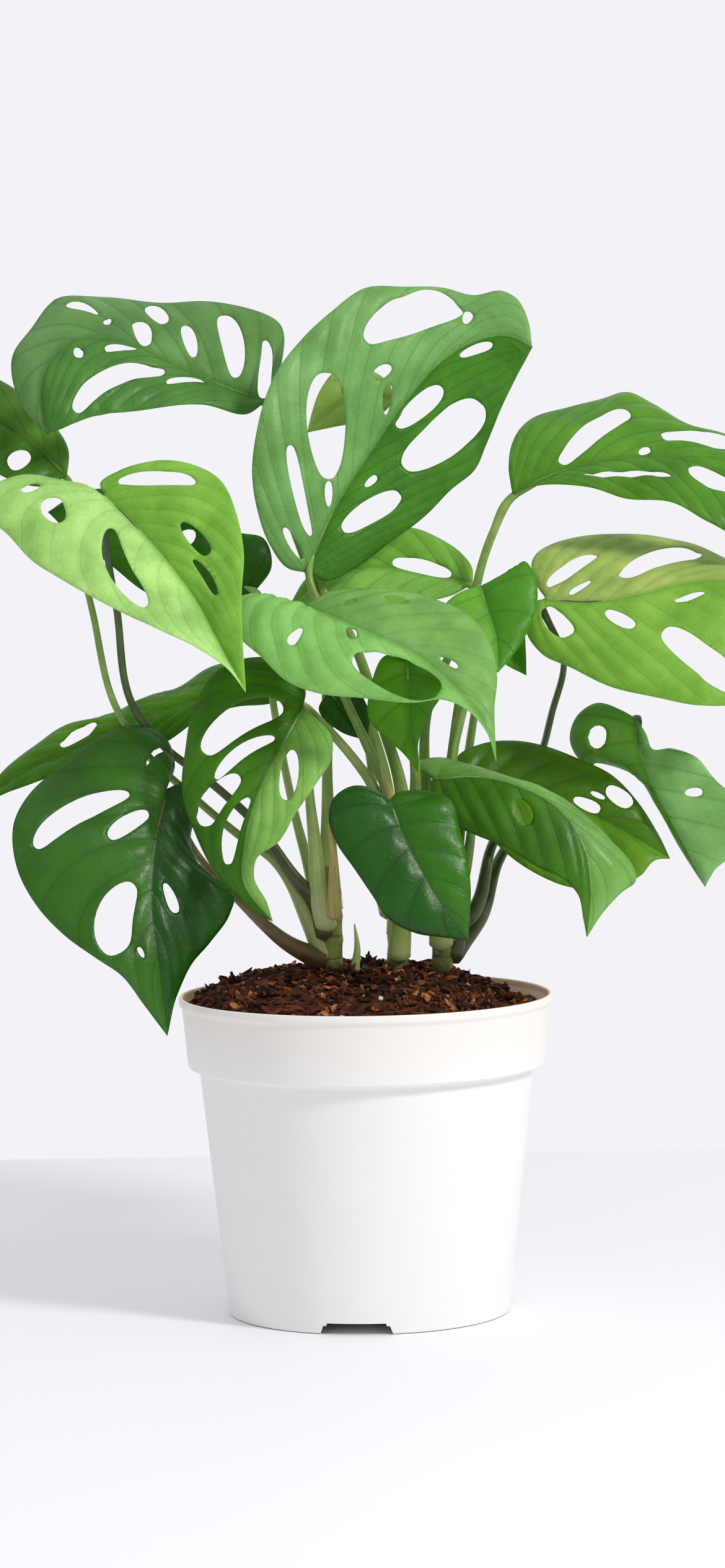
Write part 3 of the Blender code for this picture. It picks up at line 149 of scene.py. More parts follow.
# The leaves, in millimetres. Each has its midrib from base to tip, the two margins between base and tip
# (left and right as seen from above with the tip away), and its stalk: the stem, the height at which it
# leaves it, and the points that it passes on the way to the leaf's base. A hole is (side, end, end, width):
# the half it is in, 1 right and -1 left, and its two ends as (along, across), from 0 at the leaf's base to
# 1 at its tip and from 0 at the midrib to 1 at the margin.
LEAVES = {
    "leaf_top_left": dict(
        midrib=[
            (-36.5, 20, 366), (-50.5, 21, 371), (-71, 22, 380), (-96, 20, 391.5), (-114, 14, 391),
            (-125, 4, 378), (-123.5, -5, 354),
        ],
        left=[(-43.5, 14, 361), (-62, 4, 365), (-85, -2, 363), (-107.5, -6, 360), (-117.5, -7, 356)],
        right=[
            (-31.5, 30, 376), (-30.5, 40, 396.5), (-53, 47, 406), (-78, 48, 406.5), (-102, 44, 409),
            (-120, 36, 409), (-130.5, 24, 396.5), (-138, 12, 384), (-134, 2, 366),
        ],
        holes=[
            (1, (0.06, 0.06), (0.2, 0.66), 5.1), (1, (0.25, 0.12), (0.31, 0.8), 9.9),
            (1, (0.4, 0.18), (0.4, 0.61), 5.5), (1, (0.56, 0.06), (0.52, 0.51), 7.4),
            (1, (0.45, 0.59), (0.46, 0.89), 8.0), (1, (0.61, 0.35), (0.63, 0.34), 3.9),
            (1, (0.62, 0.49), (0.64, 0.83), 1.7), (-1, (0.51, 0.33), (0.85, 0.84), 9.6),
            (-1, (0.36, 0.25), (0.5, 0.55), 3.9), (-1, (0.6, 0.11), (0.69, 0.21), 4.6),
            (-1, (0.75, 0.26), (0.77, 0.17), 6.1),
        ],
        stem="stem_centre", height=190,
        stalk=[
            (10, 8, 207.5), (2, 7, 239.5), (-9, 5, 261.5), (-16, 6, 282), (-21, 12, 299.5),
            (-28.5, 20, 321.5), (-33.5, 23, 345),
        ],
    ),
    "leaf_far_left": dict(
        midrib=[(-117, 18, 337), (-129.5, 24, 349), (-143, 28, 359), (-158, 26, 366), (-173.5, 18, 364)],
        left=[(-125, 14, 333), (-137, 12, 335), (-151, 12, 343), (-164, 14, 354)],
        right=[(-116.5, 24, 347), (-123, 32, 358), (-136.5, 38, 371), (-153, 38, 378.5), (-166.5, 28, 374)],
        holes=[(-1, (0.41, 0.28), (0.42, 0.78), 8.8)],
        stem="stem_left", height=152,
        stalk=[
            (-22, 0, 158), (-36, 0, 183), (-47, 4, 190.5), (-68.5, 12, 208), (-86.5, 13, 225),
            (-97.5, 9, 242.5), (-107, 4, 284), (-114.5, 8, 318),
        ],
    ),
    "leaf_left_light": dict(
        midrib=[
            (-100, -20, 329.5), (-89, -24, 318.5), (-76, -32, 304), (-63.5, -44, 287.5),
            (-53.5, -57, 269.5), (-44.5, -70, 254),
        ],
        left=[
            (-102, -17, 334), (-94.5, -14, 339), (-79.5, -14, 343), (-64.5, -18, 341), (-54.5, -25, 335.5),
            (-47.5, -34, 320.5), (-45, -42, 306), (-46, -52, 290), (-45.5, -61, 273),
        ],
        right=[
            (-107, -17, 333.5), (-117, -15, 336), (-134, -14, 338), (-147, -16, 332), (-146.5, -20, 322.5),
            (-138, -25, 314.5), (-129, -31, 305), (-114.5, -39, 296), (-97.5, -48, 287),
            (-79.5, -56, 278.5), (-63, -64, 271), (-51, -68, 262.5),
        ],
        holes=[
            (-1, (0.36, 0.78), (0.12, 0.53), 6.1), (-1, (0.58, 0.5), (0.44, 0.38), 5.9),
            (-1, (0.71, 0.44), (0.57, 0.29), 3.4), (1, (0.28, 0.44), (0.31, 0.61), 13.4),
            (1, (0.36, 0.21), (0.69, 0.68), 9.1), (1, (0.21, 0.7), (0.25, 0.76), 4),
        ],
        stem="stem_left", height=168,
        stalk=[
            (-24, -5, 172), (-42, 0, 196.5), (-61.5, 9, 214), (-80.5, 12, 229), (-90.5, 10, 242.5),
            (-97, 0, 284), (-100.5, -10, 314),
        ],
    ),
    "leaf_left_dark": dict(
        midrib=[
            (-42.5, 22, 289), (-61, 27, 300), (-83, 29, 311.5), (-105.5, 29, 320.5), (-125.5, 27, 322.5),
        ],
        left=[(-50.5, 19, 283), (-66.5, 17, 283.5), (-85, 18, 289), (-101, 21, 301.5), (-115.5, 24, 312.5)],
        right=[
            (-35.5, 25, 299), (-38.5, 28, 310.5), (-48.5, 31, 313), (-66, 35, 321.5), (-91.5, 37, 330.5),
            (-112, 34, 330.5),
        ],
        holes=[(1, (0.5, 0.51), (0.51, 0.19), 5.9)],
        stem="stem_left", height=160,
        stalk=[(-20, 6, 172), (-27, 6, 200), (-31, 5, 220), (-35, 5, 244.5), (-38, 12, 267.5)],
    ),
    "leaf_top_centre": dict(
        midrib=[
            (-21, -4, 297.5), (-9.5, 1, 323), (5.5, 8, 346), (20, 14, 366), (35.5, 20, 382),
            (50, 23, 389.5), (61.5, 21, 390.5), (70.5, 16, 386),
        ],
        left=[
            (-28.5, -7, 299.5), (-35.5, -10, 309), (-40, -12, 322), (-42, -12, 337), (-40, -10, 354),
            (-32, -4, 377), (-22, 2, 390), (-10, 8, 401), (4, 14, 410.5), (20, 20, 411), (35.5, 26, 410.5),
            (47.5, 28, 407.5), (59, 28, 409), (64.5, 25, 406), (69, 20, 397),
        ],
        right=[
            (-14, 1, 294), (-1, 6, 299), (13, 10, 309), (26, 14, 318.5), (37.5, 16, 329.5), (46.5, 18, 337),
            (51.5, 18, 347), (57.5, 18, 361), (64.5, 18, 375),
        ],
        holes=[
            (-1, (0.21, 0.14), (0.33, 0.65), 4.6), (-1, (0.34, 0.06), (0.38, 0.18), 3.0),
            (-1, (0.39, 0.17), (0.49, 0.7), 14.9), (-1, (0.1, 0.22), (0.16, 0.56), 3.4),
            (-1, (0.6, 0.65), (0.8, 0.8), 15.3), (-1, (0.6, 0.39), (0.65, 0.38), 5.0),
            (-1, (0.62, 0.09), (0.64, 0.26), 4.0), (-1, (0.83, 0.49), (0.83, 0.68), 3.0),
            (1, (0.84, 0.11), (0.91, 0.19), 4.5), (1, (0.63, 0.09), (0.76, 0.23), 8.4),
            (1, (0.54, 0.38), (0.78, 0.73), 16.4), (1, (0.45, 0.17), (0.49, 0.21), 2.8),
            (1, (0.29, 0.24), (0.46, 0.55), 9.6),
        ],
        stem="stem_centre", height=176,
        stalk=[(5.5, 1, 192), (3.5, 1, 222.5), (0, -1, 242.5), (-6, -4, 262.5), (-15, -7, 282)],
    ),
    "leaf_top_behind": dict(
        midrib=[(15.5, 38, 366), (4, 42, 368), (-8, 44, 364), (-20.5, 44, 353)],
        left=[(11, 36, 361), (0, 37, 357), (-10, 40, 355)],
        right=[(12.5, 42, 373), (4, 45, 378.5), (-6, 46, 379.5), (-14.5, 46, 371), (-18.5, 46, 361)],
        stem="stem_centre", height=184,
        stalk=[
            (16, 10, 205), (7, 14, 239), (-6, 9, 275.5), (-15, 9, 290), (-15, 14, 303), (-12, 22, 314.5),
            (-4, 30, 330.5), (8, 36, 350),
        ],
    ),
    "leaf_top_right": dict(
        midrib=[
            (61.5, 10, 328), (80.5, 12, 336), (104.5, 14, 341), (129, 14, 341), (150.5, 10, 332),
            (176, 0, 303),
        ],
        left=[
            (60.5, 16, 338), (63, 28, 349), (71.5, 40, 358), (87, 50, 362), (100.5, 54, 365),
            (110, 54, 367.5), (121, 50, 362.5), (135, 42, 354), (150.5, 34, 349), (164, 22, 336.5),
            (173, 10, 321),
        ],
        right=[
            (68, 6, 330), (79, 3, 331), (92, 0, 330), (106, -3, 325.5), (126.5, -5, 323), (139.5, -6, 315),
            (151.5, -5, 309), (165, -2, 304),
        ],
        holes=[
            (-1, (0.32, 0.07), (0.47, 0.64), 10.4), (-1, (0.56, 0.04), (0.58, 0.12), 3.6),
            (-1, (0.58, 0.41), (0.72, 0.78), 11), (1, (0.34, 0.42), (0.6, 0.49), 3.3),
            (1, (0.67, 0.25), (0.8, 0.24), 10),
        ],
        stem="stem_right", height=180,
        stalk=[
            (33, 5, 199.5), (36, 6, 221.5), (39, 5, 242.5), (44, 8, 267.5), (47, 9, 291.5),
            (53.5, 10, 311.5),
        ],
    ),
    "leaf_right_light": dict(
        midrib=[
            (74, -4, 286), (91.5, -6, 284.5), (111.5, -8, 287.5), (131.5, -8, 292), (149.5, -6, 292),
            (170, -2, 283), (187, 0, 264),
        ],
        left=[
            (70, 4, 292), (69, 12, 299.5), (77, 24, 306.5), (91.5, 34, 309.5), (110, 38, 310),
            (130.5, 36, 307), (148.5, 32, 300), (166, 24, 291), (179, 12, 278.5),
        ],
        right=[
            (68, -2, 284), (66, -5, 273), (71.5, -10, 264.5), (83, -18, 259), (98.5, -26, 251.5),
            (116, -32, 247.5), (135.5, -34, 244), (153.5, -30, 245), (172.5, -18, 252),
        ],
        holes=[
            (-1, (0.12, 0.3), (0.34, 0.58), 6.6), (-1, (0.21, 0.09), (0.31, 0.24), 3.3),
            (-1, (0.41, 0.23), (0.6, 0.72), 13), (1, (0.11, 0.31), (0.25, 0.57), 7.9),
            (1, (0.36, 0.17), (0.45, 0.38), 5.3), (1, (0.57, 0.17), (0.65, 0.13), 2.8),
            (1, (0.53, 0.42), (0.68, 0.89), 13.5),
        ],
        stem="stem_right", height=150,
        stalk=[
            (36, 2, 153), (43, 0, 160), (51, 6, 185.5), (60.5, 24, 202), (70, 27, 216.5), (76.5, 14, 239.5),
            (81, 2, 262),
        ],
    ),
    "leaf_centre": dict(
        midrib=[
            (-22, -22, 285), (-8, -32, 279.5), (5, -40, 274), (19.5, -48, 267.5), (32, -55, 258),
            (42.5, -61, 246.5), (49.5, -65, 235.5), (52, -66, 225.5),
        ],
        left=[
            (-8, -18, 290.5), (8, -18, 291.5), (22, -20, 289.5), (35.5, -26, 285), (45, -33, 278.5),
            (51, -42, 269), (53, -50, 257.5), (51.5, -60, 243.5),
        ],
        right=[
            (-29.5, -20, 284), (-36.5, -22, 285.5), (-45.5, -28, 290), (-51, -34, 286.5), (-49, -42, 276),
            (-39, -48, 266.5), (-29, -52, 257), (-17.5, -56, 252.5), (0, -60, 250.5), (19.5, -63, 248.5),
            (32, -64, 249.5), (41.5, -65, 245), (48.5, -66, 236.5),
        ],
        holes=[
            (1, (0.38, 0.71), (0.34, 0.45), 3.8), (1, (0.42, 0.16), (0.44, 0.08), 8.3),
            (1, (0.52, 0.41), (0.78, 0.57), 15.6), (-1, (0.25, 0.26), (0.26, 0.42), 3.2),
            (-1, (0.32, 0.62), (0.39, 0.68), 4.2), (-1, (0.68, 0.21), (0.72, 0.36), 2.2),
        ],
        stem="stem_centre", height=168,
        stalk=[(14, -10, 183), (9.5, -12, 211), (2, -14, 229), (-6, -15, 247), (-12, -16, 263)],
    ),
    "leaf_arching": dict(
        midrib=[(45.5, 16, 291.5), (28.5, 22, 294.5), (8, 24, 298), (-10, 22, 295.5), (-28.5, 18, 283.5)],
        left=[(38, 13, 287.5), (20, 13, 283.5), (2, 14, 282.5), (-16, 16, 280.5)],
        right=[
            (45.5, 20, 297.5), (41.5, 26, 303), (33.5, 30, 309), (20.5, 33, 314), (5, 33, 310),
            (-10, 30, 302), (-22.5, 24, 293),
        ],
        holes=[(1, (0.56, 0.2), (0.25, 0.11), 5.5)],
        stem="stem_right", height=186,
        stalk=[(26, 10, 204), (27, 15, 242), (37.5, 15, 267.5)],
    ),
    "leaf_inner_right": dict(
        midrib=[(48, -8, 291.5), (50.5, -14, 282.5), (53.5, -20, 272), (54, -28, 258)],
        left=[
            (54, -5, 294), (61, -5, 298), (65.5, -6, 301), (69, -8, 296.5), (70.5, -12, 287.5),
            (68.5, -17, 278.5), (63.5, -21, 269), (58.5, -25, 262.5),
        ],
        right=[
            (41, -10, 289.5), (33, -14, 283.5), (31.5, -20, 273), (39.5, -26, 265.5), (47.5, -28, 260.5),
        ],
        stem="stem_right", height=172,
        stalk=[(36, -5, 193), (36, 0, 222.5), (41, -2, 243.5), (47, -3, 270)],
    ),
    "leaf_inner_tip": dict(
        midrib=[(55.5, 18, 281.5), (59.5, 18, 269), (66.5, 12, 254.5)],
        left=[(60.5, 21, 285), (65.5, 20, 275), (66.5, 16, 264)],
        right=[(50.5, 18, 277), (51.5, 15, 266.5), (57.5, 12, 259.5)],
        stem="stem_right", height=166,
        stalk=[(38, 8, 187.5), (42.5, 18, 221), (46.5, 18, 245), (50.5, 22, 267)],
    ),
    "leaf_fingered": dict(
        midrib=[
            (-23, -20, 245), (-31.5, -30, 230), (-40, -38, 214), (-46, -43, 195.5), (-47, -45, 177.5),
            (-36, -42, 162),
        ],
        left=[
            (-19, -24, 241.5), (-12, -30, 234), (-12, -36, 225.5), (-17.5, -42, 217), (-26.5, -46, 204.5),
            (-33, -48, 194), (-42, -48, 187), (-43, -47, 180.5), (-38, -44, 169.5),
        ],
        right=[
            (-22, -16, 251), (-24, -13, 257.5), (-34, -13, 263.5), (-47.5, -15, 264), (-58.5, -17, 258),
            (-66.5, -20, 245), (-70, -25, 227.5), (-71, -30, 210.5), (-66, -35, 196), (-59, -39, 182.5),
            (-50, -41, 172), (-42, -42, 165),
        ],
        holes=[
            (1, (0.23, 0.22), (0.51, 0.74), 12.5), (1, (0.36, 0.1), (0.57, 0.56), 5.5),
            (1, (0.55, 0.27), (0.7, 0.78), 10.4), (1, (0.61, 0.09), (0.81, 0.42), 6.6),
            (-1, (0.36, 0.23), (0.52, 0.68), 7.3),
        ],
        stem="stem_left", height=172,
        stalk=[(-19, -8, 186.5), (-21, -11, 209), (-22, -14, 231)],
    ),
    "leaf_low_left": dict(
        midrib=[(-78, -2, 212), (-82.5, -18, 191.5), (-84, -28, 168), (-81.5, -34, 144), (-78.5, -32, 116)],
        left=[
            (-71, 2, 214), (-66, 0, 205), (-69, -4, 192.5), (-65.5, -8, 181.5), (-58.5, -10, 175),
            (-51.5, -12, 170), (-53.5, -15, 162.5), (-61.5, -21, 152), (-69, -26, 143), (-75, -30, 130.5),
        ],
        right=[
            (-75, 5, 221.5), (-80.5, 8, 233.5), (-92.5, 6, 237), (-105, 2, 233), (-119.5, -5, 222.5),
            (-132, -12, 212), (-138.5, -20, 199.5), (-137, -26, 182.5), (-129, -30, 168),
            (-118, -34, 156.5), (-106, -37, 148), (-96, -37, 141), (-87.5, -35, 129),
        ],
        holes=[
            (1, (0.31, 0.37), (0.53, 0.84), 9.0), (1, (0.32, 0.13), (0.47, 0.34), 7.0),
            (1, (0.59, 0.14), (0.79, 0.61), 14.7), (1, (0.77, 0.25), (0.8, 0.24), 2.0),
            (-1, (0.56, 0.15), (0.64, 0.36), 4.9), (1, (0.08, 0.84), (0.2, 0.46), 2.1),
        ],
        stem="stem_left", height=143,
        stalk=[(-30, -5, 149.5), (-50, -4, 167.5), (-68, -1, 188), (-75, 1, 203)],
    ),
    "leaf_left_back": dict(
        midrib=[
            (-28, 16, 248), (-50.5, 26, 248.5), (-81.5, 32, 241), (-112, 34, 227.5), (-137, 30, 217),
            (-155.5, 20, 204.5),
        ],
        left=[
            (-36, 15, 244.5), (-50.5, 20, 243), (-64, 22, 239), (-78, 24, 229.5), (-101.5, 26, 219),
            (-126.5, 24, 215), (-143.5, 20, 209.5),
        ],
        right=[
            (-28.5, 22, 256), (-42.5, 34, 260.5), (-61.5, 42, 258), (-76.5, 46, 249), (-90, 47, 245),
            (-105.5, 48, 238), (-118.5, 46, 236), (-134.5, 40, 226.5), (-147, 30, 216),
        ],
        holes=[(1, (0.67, 0.45), (0.78, 0.32), 5.7)],
        stem="stem_centre", height=178,
        stalk=[
            (8.5, -8.5, 200.5), (4, -10, 212.5), (-2, -15, 222), (-10, -17, 232), (-19, -13, 241.5),
            (-25, 8, 245.5),
        ],
    ),
    "leaf_under_centre": dict(
        midrib=[(18.5, -32, 263.5), (18.5, -32, 250), (19, -33, 236), (22, -34, 219)],
        left=[(26.5, -32, 265.5), (33.5, -33, 254), (27.5, -33, 243), (22.5, -34, 232.5)],
        right=[(10, -30, 265.5), (4, -28, 253.5), (3, -28, 240), (9, -30, 233), (16.5, -33, 226.5)],
        stem="stem_centre", height=180,
        stalk=[(20, -8, 200.5), (21, -17, 217), (19.5, -24, 235.5), (19, -26, 249.5)],
    ),
    "leaf_small_inner": dict(
        midrib=[(-13, -9, 250.5), (-7, -9, 242.5), (2, -10, 230.5)],
        left=[(-4, -9, 252.5), (3, -9, 241.5)],
        right=[(-17, -8, 243.5), (-9, -9, 234.5)],
        stem="stem_left", height=178,
        stalk=[(-14, 4, 199.5), (-14, 3, 218), (-13, 1, 236)],
    ),
    "leaf_heart": dict(
        midrib=[(10.5, -44, 209.5), (15.5, -50, 196.5), (23.5, -55, 181), (32, -57, 167), (40.5, -56, 155)],
        left=[
            (13.5, -42, 212), (19.5, -41, 213), (28.5, -42, 212), (35, -45, 208.5), (37.5, -48, 199),
            (40, -52, 188.5), (41.5, -55, 175.5), (41, -56, 163.5),
        ],
        right=[
            (7, -42, 212), (2, -41, 214), (-5, -42, 214.5), (-11.5, -44, 210.5), (-13.5, -47, 203),
            (-10.5, -51, 193.5), (-4, -54, 184), (3, -57, 173.5), (9.5, -58, 164), (19.5, -59, 158.5),
            (30, -58, 156.5),
        ],
        stem="stem_centre", height=157,
        stalk=[(16, -15, 173.5), (14, -26, 190.5), (13, -36, 203)],
    ),
    "leaf_low_right": dict(
        midrib=[
            (28, -14, 215), (44.5, -22, 216.5), (59, -30, 214), (77.5, -40, 204), (86, -46, 191),
            (88.5, -49.5, 174.5), (87, -50, 155),
        ],
        left=[
            (20, -8, 220.5), (30, -7, 223), (42, -10, 220.5), (59.5, -16, 216), (74, -24, 210.5),
            (86.5, -30, 202.5), (97, -36, 191.5), (106, -40, 181.5), (107, -43, 176.5), (100.5, -46, 171.5),
            (93, -49, 164),
        ],
        right=[
            (26, -18, 206.5), (33.5, -24, 199), (44.5, -32, 194), (55, -38, 190), (68.5, -44, 182),
            (79, -50, 177), (84, -53, 171), (85.5, -52, 162.5),
        ],
        holes=[(1, (0.51, 0.25), (0.57, 0.51), 7.6)],
        stem="stem_right", height=164,
        stalk=[(30, -10, 183), (30, -11, 201)],
    ),
    "leaf_low_right_back": dict(
        midrib=[
            (40, 6, 212.5), (60, 6, 210), (82, 2, 203), (102, -4, 193.5), (113.5, -9, 187), (122, -12, 182),
        ],
        left=[
            (38, 10, 221.5), (47.5, 14, 227), (60.5, 16, 228), (75.5, 15, 225), (88.5, 12, 220),
            (100.5, 8, 214), (110, 3, 204), (117, -2, 193),
        ],
        right=[
            (44, 2, 200), (54, -2, 187), (68, -6, 176.5), (83.5, -10, 170.5), (99.5, -14, 171.5),
            (110, -16, 175.5), (116, -14, 181.5),
        ],
        holes=[
            (-1, (0.63, 0.15), (0.73, 0.18), 4.8), (-1, (0.67, 0.69), (0.77, 0.77), 7.7),
            (-1, (0.65, 0.43), (0.7, 0.49), 2.3),
        ],
        stem="stem_right", height=167,
        stalk=[(40.5, 1, 179), (43, 3, 195)],
    ),
    "leaf_curled_right": dict(
        midrib=[
            (110.5, 10, 236.5), (111, 4, 225.5), (115, -4, 212.5), (122.5, -12, 197), (129.5, -20, 183),
            (135, -24, 171.5),
        ],
        left=[
            (114, 4, 230.5), (116, 0, 225), (123.5, -6, 225.5), (132.5, -8, 222.5), (140.5, -10, 213),
            (149, -14, 205), (153.5, -20, 195.5), (147, -24, 185), (139, -26, 178.5),
        ],
        right=[
            (104, 16, 240), (95, 20, 242.5), (87, 22, 237.5), (84, 22, 227.5), (88, 20, 219.5),
            (97.5, 14, 218.5), (108.5, 6, 214.5), (117, -4, 202.5), (126, -14, 186),
        ],
        holes=[(1, (0.29, 0.68), (0.28, 0.42), 6.7), (-1, (0.58, 0.38), (0.56, 0.63), 4.3)],
        stem="stem_right", height=144,
        stalk=[
            (37, 5, 145.5), (46, 10, 157), (54.5, 18, 179.5), (69, 30, 197.5), (86.5, 32, 211.5),
            (102, 24, 227.5),
        ],
    ),
}


# Smooth lines -------------------------------------------------------------------------------------


def unit(vectors):
    return vectors / np.maximum(np.linalg.norm(vectors, axis=-1, keepdims=True), 1e-12)


class Line:
    """A smooth line through chosen points, read by its share of length from 0 to 1."""

    SAMPLES = 400

    def __init__(self, points):
        knots = np.array(points, float)
        gaps = np.linalg.norm(np.diff(knots, axis=0), axis=1)
        places = np.concatenate([[0.0], np.cumsum(gaps)])
        slopes = np.gradient(knots, places, axis=0)
        t = np.linspace(0.0, places[-1], self.SAMPLES)
        i = np.clip(np.searchsorted(places, t, side="right") - 1, 0, len(gaps) - 1)
        s = ((t - places[i]) / gaps[i])[:, None]
        run = gaps[i][:, None]
        self.points = (
            (2 * s**3 - 3 * s**2 + 1) * knots[i]
            + (s**3 - 2 * s**2 + s) * run * slopes[i]
            + (3 * s**2 - 2 * s**3) * knots[i + 1]
            + (s**3 - s**2) * run * slopes[i + 1]
        )
        steps = np.linalg.norm(np.diff(self.points, axis=0), axis=1)
        reached = np.concatenate([[0.0], np.cumsum(steps)])
        self.length = reached[-1]
        self.share = reached / self.length

    def at(self, share):
        return np.stack([np.interp(share, self.share, self.points[:, k]) for k in range(3)], axis=-1)

    def heading(self, share, step=0.01):
        ahead = self.at(np.minimum(share + step, 1.0))
        behind = self.at(np.maximum(share - step, 0.0))
        return unit(ahead - behind)


def placed(points):
    """A plan's points in metres, carried up with the pot's lip."""
    return np.array(points, float) * MM + (0.0, 0.0, POT_HEIGHT - PLANNED_POT_HEIGHT)


def smooth_step(value, low, high):
    t = np.clip((value - low) / (high - low), 0.0, 1.0)
    return t * t * (3 - 2 * t)


# Meshes --------------------------------------------------------------------------------------------


def add_piece(name, points, faces, look, replaces=(), uvs=None, smooth=True, tones=None):
    """A mesh piece on the frame, with its look and the CAD nodes it stands for."""
    mesh = bpy.data.meshes.new(name)
    mesh.from_pydata([tuple(p) for p in points], [], [tuple(int(v) for v in f) for f in faces])
    for layer, values in (uvs or {}).items():
        spread = mesh.uv_layers.new(name=layer)
        corner = np.zeros(len(mesh.loops), dtype=np.int32)
        mesh.loops.foreach_get("vertex_index", corner)
        spread.data.foreach_set("uv", np.ascontiguousarray(values[corner], dtype=np.float32).ravel())
    for layer, values in (tones or {}).items():
        marks = mesh.attributes.new(layer, "FLOAT", "POINT")
        marks.data.foreach_set("value", np.ascontiguousarray(values, dtype=np.float32))
    if smooth:
        mesh.shade_smooth()
    mesh.materials.append(look)
    piece = bpy.data.objects.new(name, mesh)
    bpy.context.scene.collection.objects.link(piece)
    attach(piece, "root")
    if replaces:
        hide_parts(*replaces)
    return piece


def tube_faces(rings, sides, start=0):
    """The faces of a closed tube of rings, whose first point has the number start."""
    last = start + (rings - 1) * sides
    faces = []
    for first in range(start, last, sides):
        for s in range(sides):
            a, b = first + s, first + (s + 1) % sides
            faces.append((a, b, b + sides, a + sides))
    faces.append(tuple(range(start, start + sides))[::-1])
    faces.append(tuple(range(last, last + sides)))
    return faces


def tube_mesh(path, radii, sides, groove=None, flatten=None):
    """Points, faces and (turn, length) places of a closed tube. radii is one per ring; groove presses the
    upper side in by a share of the radius; flatten squeezes each ring by a share, across its upper side."""
    count = len(radii)
    share = np.linspace(0.0, 1.0, count)
    centres = path.at(share)
    heads = path.heading(share)
    side = np.cross(heads[0], (0.0, 0.0, 1.0))
    if np.linalg.norm(side) < 0.1:
        side = np.cross(heads[0], (0.0, 1.0, 0.0))
    side = unit(side)
    turn = np.linspace(0.0, 2 * math.pi, sides, endpoint=False)
    points = []
    uvs = []
    for k in range(count):
        side = unit(side - heads[k] * np.dot(side, heads[k]))
        up = np.cross(side, heads[k])
        shape = np.ones(sides)
        if groove is not None:
            shape = 1 - groove[k] * np.exp(-((np.cos(turn) - 1) ** 2) / 0.18)
        across = np.sin(turn) * shape * radii[k]
        rise = np.cos(turn) * shape * radii[k] * (1 - (flatten[k] if flatten is not None else 0.0))
        points.append(centres[k] + across[:, None] * side + rise[:, None] * up)
        uvs.append(np.stack([turn / (2 * math.pi), np.full(sides, share[k] * path.length / MM)], axis=1))
    return np.concatenate(points), tube_faces(count, sides), np.concatenate(uvs)


def join(parts):
    """Several (points, faces) as one."""
    faces, start = [], 0
    for points, part_faces in parts:
        faces += [tuple(v + start for v in face) for face in part_faces]
        start += len(points)
    return np.concatenate([points for points, _ in parts]), faces


# Materials -----------------------------------------------------------------------------------------


def linear(red, green, blue):
    """A screen colour, 0 to 255, as a linear one."""
    shares = (red / 255, green / 255, blue / 255)
    return tuple(c / 12.92 if c <= 10 / 255 else ((c + 0.055) / 1.055) ** 2.4 for c in shares)


class Nodes:
    """A node tree under construction."""

    def __init__(self, tree):
        self.tree = tree

    def add(self, kind, inputs=None, **settings):
        node = self.tree.nodes.new(kind)
        for key, value in settings.items():
            setattr(node, key, value)
        for key, value in (inputs or {}).items():
            if isinstance(value, bpy.types.NodeSocket):
                self.tree.links.new(value, node.inputs[key])
            else:
                node.inputs[key].default_value = value
        return node

    def math(self, operation, a, b=0.0, c=0.0):
        return self.add("ShaderNodeMath", {0: a, 1: b, 2: c}, operation=operation).outputs[0]

    def band(self, value, low, high, start=0.0, end=1.0):
        """A smooth step of value from start at low to end at high."""
        inputs = {"Value": value, "From Min": low, "From Max": high, "To Min": start, "To Max": end}
        return self.add("ShaderNodeMapRange", inputs, interpolation_type="SMOOTHSTEP").outputs["Result"]

    def mix(self, share, a, b, blend="MIX"):
        def colour(value):
            return (*value, 1.0) if isinstance(value, tuple) and len(value) == 3 else value

        inputs = {0: share, 6: colour(a), 7: colour(b)}
        return self.add("ShaderNodeMix", inputs, data_type="RGBA", blend_type=blend).outputs[2]

    def noise(self, vector, scale, detail=4.0, roughness=0.55):
        inputs = {"Vector": vector, "Scale": scale, "Detail": detail, "Roughness": roughness}
        return self.add("ShaderNodeTexNoise", inputs).outputs["Fac"]

    def cell_edges(self, vector, scale):
        inputs = {"Vector": vector, "Scale": scale}
        return self.add("ShaderNodeTexVoronoi", inputs, feature="DISTANCE_TO_EDGE").outputs["Distance"]

    def place(self):
        return self.add("ShaderNodeTexCoord").outputs["Object"]

    def uv(self, layer):
        return self.add("ShaderNodeUVMap", uv_map=layer).outputs["UV"]

    def split(self, vector):
        return self.add("ShaderNodeSeparateXYZ", {0: vector}).outputs

    def value(self, layer):
        return self.add("ShaderNodeAttribute", attribute_name=layer).outputs["Fac"]

    def bump(self, height, strength, distance):
        node = self.add("ShaderNodeBump", {"Height": height, "Strength": strength, "Distance": distance})
        return node.outputs["Normal"]


class Look(Nodes):
    """A material under construction."""

    def __init__(self, name):
        self.made = bpy.data.materials.new(name)
        self.made.use_nodes = True
        super().__init__(self.made.node_tree)
        self.tree.nodes.clear()

    def finish(self, colour, roughness, normal=None, through=None, translucence=0.0, **extra):
        inputs = {"Base Color": colour, "Roughness": roughness, "Metallic": 0.0}
        inputs.update({key.replace("_", " "): value for key, value in extra.items()})
        if normal is not None:
            inputs["Normal"] = normal
        shader = self.add("ShaderNodeBsdfPrincipled", inputs).outputs[0]
        if through is not None:
            glow = self.add("ShaderNodeBsdfTranslucent", {"Color": through})
            mixed = self.add("ShaderNodeMixShader", {0: translucence, 1: shader, 2: glow.outputs[0]})
            shader = mixed.outputs[0]
        self.add("ShaderNodeOutputMaterial", {"Surface": shader})
        return self.made


